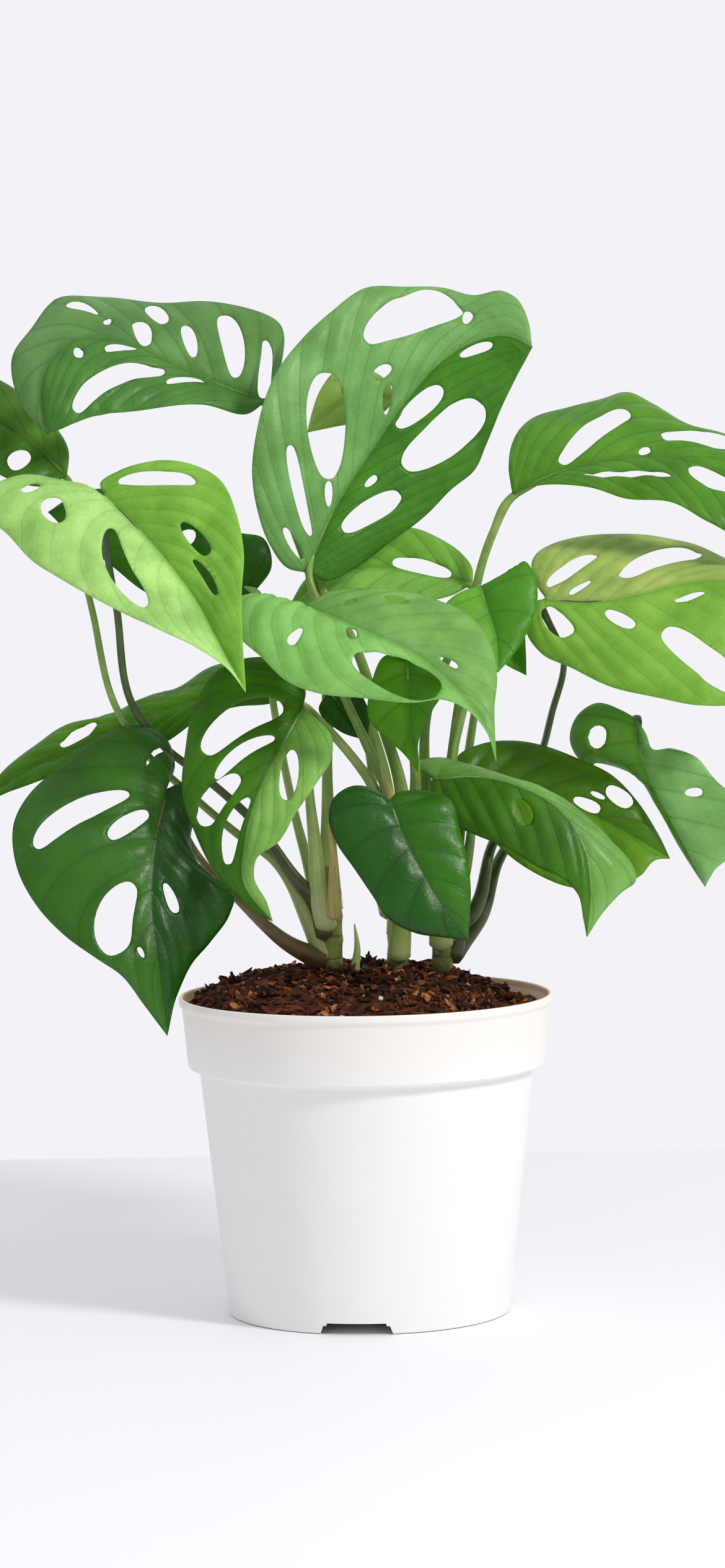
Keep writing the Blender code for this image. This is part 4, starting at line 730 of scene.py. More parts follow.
def leaf_look(name, tone):
    """A waxy leaf: sunken veins with painted shade in their grooves and along the midrib, quilted flesh
    between them, a tone for each half with painted light and shade, a tip paled by painted light and a duller
    underside.
    """
    look = Look(name)
    phase, across, _ = look.split(look.uv("veins"))
    flat = look.uv("flat")
    _, beside, _ = look.split(flat)
    under = look.value("under")
    tip = look.value("tip")

    reach = look.math("ABSOLUTE", across)
    part = look.math("FRACT", phase)
    to_vein = look.math("MINIMUM", part, look.math("SUBTRACT", 1.0, part))
    fine_part = look.math("FRACT", look.math("ADD", phase, 0.5))
    to_fine = look.math("MINIMUM", fine_part, look.math("SUBTRACT", 1.0, fine_part))
    vein_width = look.math("MULTIPLY_ADD", reach, -0.045, 0.075)
    vein = look.math("SUBTRACT", 1.0, look.band(to_vein, 0.0, vein_width))
    fine_vein = look.math("SUBTRACT", 1.0, look.band(to_fine, 0.0, 0.035))
    net = look.math("SUBTRACT", 1.0, look.band(look.cell_edges(flat, 0.34), 0.0, 0.09))
    rib_width = look.math("MULTIPLY_ADD", tip, -0.55, 0.75)
    off_rib = look.math("ABSOLUTE", beside)
    rib = look.math("SUBTRACT", 1.0, look.band(off_rib, look.math("MULTIPLY", rib_width, 0.45), rib_width))

    # Painted light and shade: each half gets its own tone, lighter on the half that faced the light, darker on
    # the one turned away.
    middle = look.mix(look.band(across, -0.03, 0.03), tone["left"], tone["right"])
    deep = look.mix(1.0, middle, (0.50, 0.56, 0.40), "MULTIPLY")
    light = look.mix(1.0, middle, (1.45, 1.28, 1.50), "MULTIPLY")
    mottle = look.noise(flat, 0.035, 3.0, 0.6)
    speckle = look.noise(flat, 0.6, 3.0, 0.7)
    flesh = look.mix(look.band(mottle, 0.42, 0.75), middle, light)
    flesh = look.mix(look.band(mottle, 0.55, 0.25, 0.0, 0.6), flesh, deep)
    flesh = look.mix(look.band(speckle, 0.35, 0.8, 0.0, 0.22), flesh, deep)
    # Painted shade: the flesh darkens towards each lateral vein and along it, as shade in the sunken grooves.
    flesh = look.mix(look.band(to_vein, 0.16, 0.0, 0.0, 0.35 * tone["line"]), flesh, deep)
    flesh = look.mix(look.math("MULTIPLY", vein, 0.30 * tone["line"]), flesh, deep)
    flesh = look.mix(look.math("MULTIPLY", fine_vein, 0.16), flesh, light)
    flesh = look.mix(look.math("MULTIPLY", net, 0.12), flesh, light)
    # Painted shade along the sunken midrib; the narrow pale rib drawn next is its own colour.
    flesh = look.mix(look.band(off_rib, 2.6, 0.2, 0.0, 0.45), flesh, deep)
    flesh = look.mix(look.math("MULTIPLY", rib, 0.25), flesh, light)
    flesh = look.mix(look.band(reach, 0.965, 1.0, 0.0, 0.4), flesh, light)
    # Painted light: the tip paler, as where the light fell on it.
    flesh = look.mix(look.band(tip, 0.6, 1.0, 0.0, tone["tip"]), flesh, light)
    fleck = look.band(look.noise(flat, 0.9, 2.0, 0.5), 0.70, 0.76, 0.0, 0.35)
    flesh = look.mix(fleck, flesh, linear(176, 186, 120))
    back = look.mix(look.math("MULTIPLY", vein, 0.5), tone["under"], light)
    back = look.mix(look.math("MULTIPLY", net, 0.18), back, deep)
    back = look.mix(look.math("MULTIPLY", rib, 0.8), back, light)
    colour = look.mix(under, flesh, back)

    rough = look.math("MULTIPLY_ADD", speckle, 0.16, tone["rough"])
    rough = look.math("MULTIPLY_ADD", under, 0.16, rough)
    cut = look.math("MULTIPLY", vein, -0.6)
    cut = look.math("MULTIPLY_ADD", fine_vein, -0.18, cut)
    cut = look.math("MULTIPLY_ADD", net, -0.16, cut)
    cut = look.math("MULTIPLY_ADD", look.noise(flat, 0.22, 3.0), 0.8, cut)
    normal = look.bump(cut, 0.55, 0.0004)
    glow = look.mix(0.55, colour, tone["glow"])
    return look.finish(
        colour, rough, normal, through=glow, translucence=tone["through"],
        Specular_IOR_Level=tone["shine"], Coat_Weight=0.12, Coat_Roughness=0.28,
    )


# The leaf ------------------------------------------------------------------------------------------


class Blade:
    """A leaf's surface between its midrib and its margins.

    A place on it is (along, across): along runs from the base, 0, to the tip, 1, and across from the left
    margin, -1, over the midrib, 0, to the right margin, 1.
    """

    def __init__(self, plan):
        midrib = placed(plan["midrib"])
        self.midrib = Line(midrib)
        self.left = Line([midrib[0], *placed(plan["left"]), midrib[-1]])
        self.right = Line([midrib[0], *placed(plan["right"]), midrib[-1]])
        self.holes = plan.get("holes", [])
        self.veins = max(4, round(self.midrib.length / MM / VEIN_SPACING))
        self.lean = {side: self.usual_lean(side) for side in (-1, 1)}

    def usual_lean(self, side):
        """How far the veins of one half sweep towards the tip, from the way its holes lie."""
        leans = [0.12]
        weights = [0.3]
        for hole_side, (a0, c0), (a1, c1), _ in self.holes:
            if hole_side == side and abs(c1 - c0) > 0.15:
                leans.append((a1 - a0) / (c1 - c0))
                weights.append(abs(c1 - c0))
        return float(np.clip(np.average(leans, weights=weights), 0.0, 0.45))

    def ray(self, along, across):
        start = self.midrib.at(along**FAN)
        side = np.where((across < 0)[:, None], self.left.at(along), self.right.at(along))
        return start, side - start

    def normal(self, along):
        over = self.right.at(along) - self.left.at(along)
        return unit(np.cross(over, self.midrib.heading(along**FAN)))

    def point(self, along, across):
        start, ray = self.ray(along, across)
        reach = np.abs(across)[:, None]
        arch = BULGE * 4 * reach * (1 - reach) * np.linalg.norm(ray, axis=1, keepdims=True)
        return start + ray * reach + self.normal(along) * arch

    def flat(self, along, across):
        """The place on the leaf pressed flat, with its midrib along x."""
        _, ray = self.ray(along, across)
        length = np.linalg.norm(ray, axis=1)
        cosine = np.sum(ray * self.midrib.heading(along**FAN), axis=1) / np.maximum(length, 1e-9)
        sine = np.sqrt(np.maximum(1 - cosine**2, 0.0))
        x = self.midrib.length * along**FAN + np.abs(across) * length * cosine
        return np.stack([x, -across * length * sine], axis=1)

    def phase(self, along, across):
        """Whole numbers of this lie on the lateral veins."""
        lean = np.where(across < 0, self.lean[-1], self.lean[1])
        return self.veins * (along - lean * np.abs(across))


def hole_edge(blade, hole, sides, step=0.01):
    """The edge of a hole: a long rounded gap between two places on the leaf, wider towards the margin."""
    side, first, last, width = hole
    ends = np.array([first, last])
    ends[:, 1] *= side
    turn = np.linspace(0.0, 2 * math.pi, sides, endpoint=False)[:, None]
    middle = ends[0] + (1 - np.cos(turn)) / 2 * (ends[1] - ends[0])
    a, c = middle[:, 0], middle[:, 1]
    ahead = (blade.flat(a + step, c) - blade.flat(a - step, c)) / (2 * step)
    outward = (blade.flat(a, c + step) - blade.flat(a, c - step)) / (2 * step)
    change = ends[1] - ends[0]
    heading = unit(ahead * change[0] + outward * change[1])
    swell = 1 - HOLE_TEAR * np.sign(last[1] - first[1]) * np.cos(turn)
    half = width * MM / 2 * swell * np.sign(np.sin(turn)) * np.abs(np.sin(turn)) ** HOLE_ROUNDNESS
    beside = np.stack([-heading[:, 1], heading[:, 0]], axis=1) * half
    frames = np.stack([ahead, outward], axis=2)
    return middle + np.linalg.solve(frames, beside[:, :, None])[:, :, 0]


def inside(points, loop):
    """Which points lie inside a closed loop."""
    start = loop[None, :, :]
    end = np.roll(loop, -1, axis=0)[None, :, :]
    x, y = points[:, 0, None], points[:, 1, None]
    crosses = (start[..., 1] > y) != (end[..., 1] > y)
    run = np.where(crosses, end[..., 1] - start[..., 1], 1.0)
    reach = start[..., 0] + (y - start[..., 1]) / run * (end[..., 0] - start[..., 0])
    return (crosses & (x < reach)).sum(axis=1) % 2 == 1


def thinned(points, gaps, taken):
    """Which of the points keep their gap to those taken and to each other."""
    bins = {}
    size = float(np.max(gaps))

    def note(point):
        bins.setdefault((int(point[0] // size), int(point[1] // size)), []).append(point)

    for point in taken:
        note((float(point[0]), float(point[1])))
    chosen = []
    for index, (point, gap) in enumerate(zip(points.tolist(), gaps.tolist())):
        column, row = int(point[0] // size), int(point[1] // size)
        near = (
            other
            for i in (column - 1, column, column + 1)
            for j in (row - 1, row, row + 1)
            for other in bins.get((i, j), ())
        )
        if all((point[0] - o[0]) ** 2 + (point[1] - o[1]) ** 2 >= gap * gap for o in near):
            note(point)
            chosen.append(index)
    return chosen


def blade_sheet(blade):
    """The leaf as a sheet: its places (along, across), their flat places, its triangles and its open edge."""
    rim_count = round(max(blade.left.length, blade.right.length) / CELL)
    steps = np.linspace(0.0, 1.0, rim_count + 1)
    rim = [(a, 1.0) for a in steps[:-1]] + [(a, -1.0) for a in steps[:0:-1]]
    rim[0] = (0.0, 0.0)
    rim[rim_count] = (1.0, 0.0)
    rib_count = round(blade.midrib.length / (2 * RIB_CELL))
    rib = [((k / rib_count) ** (1 / FAN), 0.0) for k in range(1, rib_count)]
    loops = []
    for hole in blade.holes:
        ends = blade.flat(*(np.array([hole[1], hole[2]]) * (1, hole[0])).T)
        around = 2.2 * np.linalg.norm(ends[1] - ends[0]) + 2 * hole[3] * MM
        loops.append(hole_edge(blade, hole, max(12, round(around / CELL / 1.6))))
    places = np.concatenate([np.array(rim + rib), *loops])
    flats = blade.flat(places[:, 0], places[:, 1])

    seeds = []
    gaps = []
    for side, margin in ((-1, blade.left), (1, blade.right)):
        rows = np.linspace(0.004, 0.996, round(1.5 * margin.length / CELL))
        _, rays = blade.ray(rows, np.full(len(rows), side * 1.0))
        lengths = np.linalg.norm(rays, axis=1)
        for row, length in zip(rows, lengths):
            out = RIB_CELL
            while out < length - 0.5 * CELL:
                seeds.append((row, side * out / length))
                step = min(CELL, RIB_CELL + 0.35 * out)
                gaps.append(0.72 * step)
                out += step
    seeds = np.array(seeds)
    seed_flats = blade.flat(seeds[:, 0], seeds[:, 1])
    chosen = thinned(seed_flats, np.array(gaps), flats)
    places = np.concatenate([places, seeds[chosen]])
    flats = np.concatenate([flats, seed_flats[chosen]])

    first_rib = len(rim)
    rib_line = [0, *range(first_rib, first_rib + len(rib)), rim_count]
    edges = [(k, (k + 1) % len(rim)) for k in range(len(rim))] + list(zip(rib_line, rib_line[1:]))
    start = first_rib + len(rib)
    rings = []
    for loop in loops:
        ring = list(range(start, start + len(loop)))
        rings.append(flats[ring])
        edges += list(zip(ring, ring[1:] + ring[:1]))
        start += len(loop)
    found = delaunay_2d_cdt([Vector(p) for p in flats], edges, [], 0, 1e-8)
    spots, faces, origins = np.array([tuple(p) for p in found[0]]), np.array(found[2]), found[3]
    keep_spot = np.array([bool(origin) for origin in origins])
    source = np.array([origin[0] if origin else 0 for origin in origins])
    centres = spots[faces].mean(axis=1)
    kept = inside(centres, flats[: len(rim)]) & keep_spot[faces].all(axis=1)
    for ring in rings:
        kept &= ~inside(centres, ring)
    faces = source[faces[kept]]
    used, faces = np.unique(faces, return_inverse=True)
    faces = faces.reshape(-1, 3)
    halves = np.concatenate([faces[:, [0, 1]], faces[:, [1, 2]], faces[:, [2, 0]]])
    _, index, seen = np.unique(np.sort(halves, axis=1), axis=0, return_index=True, return_counts=True)
    open_edges = halves[index[seen == 1]]
    return places[used], flats[used], faces, open_edges


def sheet_normals(points, faces, count):
    turns = np.cross(points[faces[:, 1]] - points[faces[:, 0]], points[faces[:, 2]] - points[faces[:, 0]])
    normals = np.zeros((count, 3))
    for k in range(3):
        np.add.at(normals, faces[:, k], turns)
    return unit(normals)


def add_leaf(name, plan, looks):
    blade = Blade(plan)
    places, flats, faces, edge = blade_sheet(blade)
    along, across = places[:, 0], places[:, 1]
    count = len(places)
    base = blade.point(along, across)
    normals = sheet_normals(base, faces, count)
    if np.sum(normals * blade.normal(along)) < 0:
        normals = -normals
        faces = faces[:, ::-1]
        edge = edge[:, ::-1]

    reach = np.abs(across)
    off_rib = np.abs(flats[:, 1]) / MM
    tip = along**FAN
    phase = blade.phase(along, across)
    width = np.linalg.norm(blade.ray(along, across)[1], axis=1) / MM
    window = smooth_step(reach * width, 1.0, 5.0) * smooth_step((1 - reach) * width, 0.5, 5.0)
    size = min(1.0, blade.midrib.length / MM / FULL_SIZE)
    quilt = QUILT_LIFT * size * np.abs(np.sin(math.pi * phase)) ** 1.3 * window
    drift = Vector((len(name), 0, 0))
    wave = np.array([noise.noise(Vector((*(p / MM / WAVE_LENGTH), 0.0)) + drift) for p in flats])
    lift = quilt + WAVE_LIFT * size * wave * smooth_step(reach * width, 2.0, 14.0)
    groove = GROOVE_DEPTH * np.exp(-((off_rib / GROOVE_WIDTH) ** 2)) * (1 - 0.6 * tip)
    ridge = (RIDGE_HEIGHT * (1 - tip) ** 1.3 + 0.18) * size
    ridge *= np.exp(-((off_rib / (RIDGE_WIDTH - 0.7 * tip)) ** 2))
    thick = np.full(count, BLADE_THICKNESS / MM)
    thick[np.unique(edge)] *= RIM_SHARE
    upper = base + normals * ((lift - groove + thick / 2) * MM)[:, None]
    lower = base + normals * ((lift - groove * 0.6 - ridge - thick / 2) * MM)[:, None]

    points = np.concatenate([upper, lower])
    walls = np.stack([edge[:, 1], edge[:, 0], edge[:, 0] + count, edge[:, 1] + count], axis=1)
    solid = [tuple(f) for f in faces] + [tuple(f) for f in faces[:, ::-1] + count] + [tuple(w) for w in walls]
    veins = np.stack([phase, across], axis=1)
    add_piece(
        name,
        points,
        solid,
        looks[name],
        replaces=(name,),
        uvs={"veins": np.concatenate([veins, veins]), "flat": np.concatenate([flats, flats]) / MM},
        tones={
            "under": np.concatenate([np.zeros(count), np.ones(count)]),
            "tip": np.concatenate([tip, tip]),
        },
    )
    return blade


def add_stalk(name, plan, blade, stems, looks):
    """The stalk from a sheath on its stem to the leaf's base, running on as the ridge under the midrib."""
    stem = stems[plan["stem"]]
    via = placed(plan["stalk"])
    height = plan["height"] * MM + POT_HEIGHT - PLANNED_POT_HEIGHT
    heights = stem.points[:, 2]
    axis = np.array([np.interp(height, heights, stem.points[:, k]) for k in range(3)])
    outward = via[0] - axis
    outward[2] = 0.0
    outward = unit(outward)
    foot_height = max(heights[0] + 0.002, height - 0.018)
    foot = np.array([np.interp(foot_height, heights, stem.points[:, k]) for k in range(3)])
    start = axis + outward * (STEM_RADIUS + STALK_THICK) * 1.05
    normal = -blade.normal(np.array([0.12]))[0]
    come = unit(blade.midrib.at(0.0) - via[-1])
    if np.dot(normal, come) > 0:
        normal = -normal
    under = blade.midrib.at(0.0) + normal * (STALK_THIN + BLADE_THICKNESS)
    rib = [
        blade.midrib.at(share) - blade.normal(np.array([max(share, 0.12) ** (1 / FAN)]))[0] * drop * MM
        for share, drop in ((0.05, 1.2), (0.11, 0.7), (0.18, 0.35))
    ]
    path = Line([foot + outward * STEM_RADIUS * 0.75, start, *via, under, *rib])
    reached = path.length - Line([under, *rib]).length
    rings = max(30, round(path.length / STALK_STEP))
    run = np.linspace(0.0, path.length, rings)
    slim = STALK_THICK + (STALK_THIN - STALK_THICK) * np.clip(run / reached, 0, 1)
    sheath = SHEATH_SWELL * np.exp(-((run / SHEATH_REACH) ** 2))
    knee = 0.00035 * np.exp(-(((run - reached + 0.007) / 0.005) ** 2))
    taper = np.interp(run, [0.0, reached, path.length], [1.0, 1.0, 0.25])
    wobble = np.array([noise.noise(Vector((r / 0.012, len(name), 0.0))) for r in run]) * 0.00008
    radii = (slim + sheath + knee + wobble) * taper
    radii[0] *= 0.5
    groove = 0.30 * smooth_step(run, 0.004, 0.02) * smooth_step(reached - run, 0.0, 0.012)
    points, faces, uvs = tube_mesh(path, radii, STALK_SIDES, groove=groove, flatten=0.12 * np.ones(rings))
    tones = {"reach": np.repeat(run / reached, STALK_SIDES)}
    add_piece(name, points, faces, looks[name], replaces=(name,), uvs={"around": uvs}, tones=tones)


# Looks of the plant --------------------------------------------------------------------------------


def lengthwise(look, around_scale, run_scale):
    """A place on a tube, stretched so that noise makes lines along it."""
    around, run, _ = look.split(look.uv("around"))
    across, along = look.math("MULTIPLY", around, around_scale), look.math("MULTIPLY", run, run_scale)
    return look.add("ShaderNodeCombineXYZ", {0: across, 1: along}).outputs[0]


def stalk_look(name, tone):
    """A ribbed, waxy stalk: fine lengthwise lines, a paler foot and small brown flecks."""
    look = Look(name)
    place = look.place()
    streak = look.noise(lengthwise(look, 22.0, 0.05), 1.0, 3.0, 0.6)
    blotch = look.noise(place, 120.0, 4.0, 0.6)
    fleck = look.band(look.noise(place, 700.0, 2.0), 0.66, 0.74)
    reach = look.value("reach")
    colour = look.mix(look.band(streak, 0.3, 0.7), tone["deep"], tone["main"])
    colour = look.mix(look.band(blotch, 0.35, 0.75, 0.0, 0.4), colour, tone["pale"])
    colour = look.mix(look.band(reach, 0.0, 0.28, 0.75, 0.0), colour, tone["foot"])
    colour = look.mix(look.math("MULTIPLY", fleck, 0.35), colour, linear(96, 70, 34))
    height = look.math("MULTIPLY_ADD", streak, 0.8, look.math("MULTIPLY", blotch, 0.5))
    normal = look.bump(height, 0.35, 0.0003)
    rough = look.band(blotch, 0.2, 0.8, 0.32, 0.5)
    return look.finish(
        colour, rough, normal, Specular_IOR_Level=0.5, Subsurface_Weight=0.12,
        Subsurface_Radius=(0.4, 1.0, 0.2), Subsurface_Scale=0.0015,
    )


def stem_look():
    """A green stem with brown rings where old leaves were."""
    look = Look("stem")
    _, run, _ = look.split(look.uv("around"))
    place = look.place()
    ring = look.math("PINGPONG", look.math("MULTIPLY_ADD", look.noise(place, 90.0), 2.0, run), 4.5)
    scar = look.math("SUBTRACT", 1.0, look.band(ring, 0.0, 0.9))
    blotch = look.noise(place, 160.0, 5.0, 0.65)
    colour = look.mix(look.band(blotch, 0.3, 0.7), linear(92, 106, 44), linear(150, 158, 84))
    colour = look.mix(look.math("MULTIPLY", scar, 0.8), colour, linear(104, 78, 44))
    mark = look.band(look.noise(place, 420.0, 3.0), 0.55, 0.7, 0.0, 0.6)
    colour = look.mix(mark, colour, linear(70, 50, 28))
    height = look.math("MULTIPLY_ADD", scar, -0.7, look.noise(place, 600.0, 4.0))
    return look.finish(colour, look.band(blotch, 0.2, 0.8, 0.45, 0.7), look.bump(height, 0.5, 0.0005))


def sheath_look():
    """Papery, fibrous remains, straw to pale green."""
    look = Look("dry_sheath")
    fibre = look.noise(lengthwise(look, 40.0, 0.08), 1.0, 4.0, 0.7)
    blotch = look.noise(look.place(), 150.0, 4.0, 0.6)
    colour = look.mix(look.band(fibre, 0.3, 0.7), linear(152, 128, 66), linear(228, 206, 138))
    colour = look.mix(look.band(blotch, 0.45, 0.7), colour, linear(178, 184, 104))
    return look.finish(colour, 0.62, look.bump(fibre, 0.6, 0.0004))


def leaf_tone(left, right, through=0.26, rough=0.34, shine=0.22, line=0.8, tip=0.2):
    """The tones of a leaf from the screen colours of its two halves, less what its gloss adds; the halves
    differ by painted light and shade, the half that faced the light lighter. line is how dark the painted
    shade in its vein grooves is, and tip how much painted light pales its tip."""
    halves = [np.array(linear(*side)) for side in (left, right)]
    halves = [np.maximum(side * (1.04, 1.10, 1.0) - (0.018, 0.012, 0.035), side * 0.3) for side in halves]
    under = 0.5 * (halves[0] + halves[1]) * 0.55 + np.array(linear(150, 184, 112)) * 0.45
    return dict(
        left=tuple(halves[0]), right=tuple(halves[1]), under=tuple(under), glow=linear(176, 214, 52),
        through=through, rough=rough, shine=shine, line=line, tip=tip,
    )


# Screen colours of each leaf's two halves: its green with painted light and shade, the half that faced the
# light lighter.
LEAF_TONES = {
    "leaf_top_left": leaf_tone((86, 136, 76), (102, 144, 92), tip=0.1),
    "leaf_far_left": leaf_tone((82, 126, 62), (96, 140, 72)),
    "leaf_left_light": leaf_tone((148, 202, 96), (190, 232, 146), through=0.36, rough=0.40, line=0.3),
    "leaf_left_dark": leaf_tone((60, 104, 34), (52, 94, 30)),
    "leaf_top_centre": leaf_tone((122, 170, 108), (74, 128, 56), line=0.6, tip=0.35),
    "leaf_top_behind": leaf_tone((170, 196, 118), (176, 200, 122), through=0.4, rough=0.42, line=0.4),
    "leaf_top_right": leaf_tone((92, 146, 60), (84, 134, 56)),
    "leaf_right_light": leaf_tone((180, 198, 122), (136, 184, 88), through=0.36, rough=0.38, line=0.3),
    "leaf_centre": leaf_tone((136, 184, 110), (142, 198, 116), through=0.32, rough=0.36, line=0.35),
    "leaf_arching": leaf_tone((138, 192, 100), (122, 174, 82), tip=0.3),
    "leaf_inner_right": leaf_tone((84, 146, 54), (104, 166, 70)),
    "leaf_inner_tip": leaf_tone((80, 144, 46), (80, 144, 46)),
    "leaf_fingered": leaf_tone((140, 188, 104), (70, 118, 28), line=0.6),
    "leaf_low_left": leaf_tone((38, 82, 16), (62, 108, 40), rough=0.30, shine=0.36, tip=0.5),
    "leaf_left_back": leaf_tone((74, 126, 16), (84, 134, 28)),
    "leaf_under_centre": leaf_tone((90, 150, 40), (96, 156, 46), through=0.34),
    "leaf_small_inner": leaf_tone((52, 96, 20), (52, 96, 20)),
    "leaf_heart": leaf_tone(
        (60, 112, 4), (44, 84, 2), through=0.2, rough=0.30, shine=0.35, line=1.0, tip=0.0
    ),
    "leaf_low_right": leaf_tone((124, 172, 96), (72, 120, 14), rough=0.29, shine=0.4, line=1.0, tip=0.45),
    "leaf_low_right_back": leaf_tone((80, 122, 28), (104, 150, 62), tip=0.3),
    "leaf_curled_right": leaf_tone((134, 182, 118), (98, 148, 74), tip=0.5),
}

def stalk_tone(**tones):
    return {part: linear(*tone) for part, tone in tones.items()}


PALE_STALK = stalk_tone(main=(168, 192, 108), deep=(134, 162, 78), pale=(198, 214, 142), foot=(204, 208, 150))
GREEN_STALK = stalk_tone(main=(130, 162, 72), deep=(92, 128, 46), pale=(164, 188, 104), foot=(182, 194, 126))
DARK_STALK = stalk_tone(main=(70, 92, 38), deep=(44, 58, 24), pale=(104, 120, 60), foot=(84, 78, 44))
BROWN_STALK = stalk_tone(main=(124, 104, 62), deep=(86, 66, 38), pale=(150, 136, 84), foot=(104, 74, 44))
STALK_TONES = {  # the rest are green
    "stalk_low_left": BROWN_STALK,
    "stalk_left_light": DARK_STALK,
    "stalk_curled_right": DARK_STALK,
    "stalk_right_light": DARK_STALK,
    "stalk_left_dark": PALE_STALK,
    "stalk_fingered": PALE_STALK,
    "stalk_small_inner": PALE_STALK,
    "stalk_left_back": PALE_STALK,
}


def add_plant():
    looks = {}
    for name in LEAVES:
        looks[name] = leaf_look(name, LEAF_TONES[name])
        stalk = name.replace("leaf", "stalk")
        looks[stalk] = stalk_look(stalk, STALK_TONES.get(stalk, GREEN_STALK))
    stem_material = stem_look()
    sheath_material = sheath_look()
    stems = {}
    for name, plan in STEMS.items():
        above = placed(plan)
        foot = above[0] - np.array([0.0, 0.0, STEM_DEPTH])
        stems[name] = Line(above)
        route = Line([foot, *above])
        run = np.linspace(0.0, route.length, STEM_RINGS)
        swell = 1 + 0.10 * np.abs(np.sin(run / SCAR_GAP * math.pi)) ** 6
        cap = np.clip((route.length - run) / 0.004, 0.05, 1.0) ** 0.5
        points, faces, uvs = tube_mesh(route, STEM_RADIUS * swell * cap, STEM_SIDES)
        add_piece(name, points, faces, stem_material, replaces=(name,), uvs={"around": uvs})
    for name, (points, foot) in SHEATHS.items():
        above = placed(points)
        route = Line([above[0] - (0.0, 0.0, GROUNDED), *above])
        share = np.linspace(0.0, 1.0, SHEATH_RINGS)
        radii = foot * MM * (1 - (1 - SHEATH_TIP) * share**SHEATH_TAPER)
        radii[:3] *= (0.45, 0.8, 0.95)
        evenly = np.ones(SHEATH_RINGS)
        points, faces, uvs = tube_mesh(route, radii, SHEATH_SIDES, groove=0.35 * evenly, flatten=0.25 * evenly)
        bud = name.startswith("bud")
        look, slot = (looks["stalk_left_dark"], "stalk") if bud else (sheath_material, "sheath")
        tones = {"reach": np.repeat(share, SHEATH_SIDES)}
        add_piece(name, points, faces, look, replaces=(name,), uvs={"around": uvs}, tones=tones)
    for name, plan in LEAVES.items():
        blade = add_leaf(name, plan, looks)
        add_stalk(name.replace("leaf", "stalk"), plan, blade, stems, looks)


# The pot -------------------------------------------------------------------------------------------


def turned_faces(rings, steps):
    """The faces of a solid turned about Z: a first point, rings of steps points each, and a last point."""
    last = 1 + (rings - 1) * steps
    faces = []
    for s in range(steps):
        t = (s + 1) % steps
        faces.append((0, 1 + s, 1 + t))
        for a in range(1, last, steps):
            faces.append((a + s, a + steps + s, a + steps + t, a + t))
        faces.append((last + steps, last + t, last + s))
    return faces


def turned_mesh(profile, steps):
    """A closed solid turned about Z from its (radius, height) profile, which starts and ends on the axis."""
    turn = np.linspace(0.0, 2 * math.pi, steps, endpoint=False)
    points = [(0.0, 0.0, profile[0][1])]
    for radius, height in profile[1:-1]:
        points += [(radius * math.cos(t), radius * math.sin(t), height) for t in turn]
    points.append((0.0, 0.0, profile[-1][1]))
    return points, turned_faces(len(profile) - 2, steps)


def rounded(points, radius, steps=5):
    """A profile with its corners rounded, ends kept."""
    out = [points[0]]
    for before, corner, after in zip(points, points[1:], points[2:]):
        before, corner, after = (np.array(p, float) for p in (before, corner, after))
        into = min(radius, 0.45 * np.linalg.norm(corner - before))
        away = min(radius, 0.45 * np.linalg.norm(after - corner))
        a = corner + unit(before - corner) * into
        b = corner + unit(after - corner) * away
        for t in np.linspace(0.0, 1.0, steps):
            out.append(tuple((1 - t) ** 2 * a + 2 * t * (1 - t) * corner + t**2 * b))
    out.append(points[-1])
    return out


def pot_look():
    """White plastic, warmer at the lip, with painted warm light on the inside of the wall, faint dirt and
    moulding marks.
    """
    look = Look("pot_plastic")
    place = look.place()
    _, _, height = look.split(place)
    cloud = look.noise(place, 14.0, 3.0, 0.5)
    grain = look.noise(place, 1400.0, 2.0, 0.6)
    stretch = look.add("ShaderNodeMapping", {"Vector": place, "Scale": (1.0, 1.0, 0.12)}).outputs[0]
    flow = look.noise(stretch, 60.0, 3.0, 0.5)
    colour = look.mix(cloud, linear(241, 240, 238), linear(247, 246, 245))
    lip = look.band(height, POT_HEIGHT - 0.034, POT_HEIGHT - 0.006)
    colour = look.mix(look.math("MULTIPLY", lip, 0.55), colour, linear(240, 231, 220))
    x, y, _ = look.split(place)
    nx, ny, _ = look.split(look.add("ShaderNodeNewGeometry").outputs["Normal"])
    outward = look.math("MULTIPLY_ADD", x, nx, look.math("MULTIPLY", y, ny))
    # Painted light: the inside of the wall takes a warm, sunlit tone.
    colour = look.mix(look.band(outward, -0.002, -0.03), colour, linear(238, 206, 172))
    dirt = look.band(look.noise(place, 90.0, 5.0, 0.7), 0.62, 0.8)
    colour = look.mix(look.math("MULTIPLY", dirt, 0.05), colour, linear(170, 150, 128))
    rough = look.band(flow, 0.3, 0.7, 0.40, 0.52)
    relief = look.math("MULTIPLY_ADD", flow, 0.5, look.math("MULTIPLY", grain, 0.25))
    normal = look.bump(relief, 0.12, 0.0004)
    return look.finish(
        colour, rough, normal, Specular_IOR_Level=0.45, Subsurface_Weight=0.15,
        Subsurface_Radius=(1.0, 0.9, 0.8), Subsurface_Scale=0.002,
    )


def add_cutter(name, shape, reach, height, angle, turn=0.0):
    """A cutting object from a finished bmesh, at a reach and an angle from the pot's axis."""
    mesh = bpy.data.meshes.new(name)
    shape.to_mesh(mesh)
    shape.free()
    cutter = bpy.data.objects.new(name, mesh)
    cutter.location = (reach * math.cos(angle), reach * math.sin(angle), height)
    cutter.rotation_euler = (0.0, 0.0, turn)
    bpy.context.scene.collection.objects.link(cutter)
    return cutter


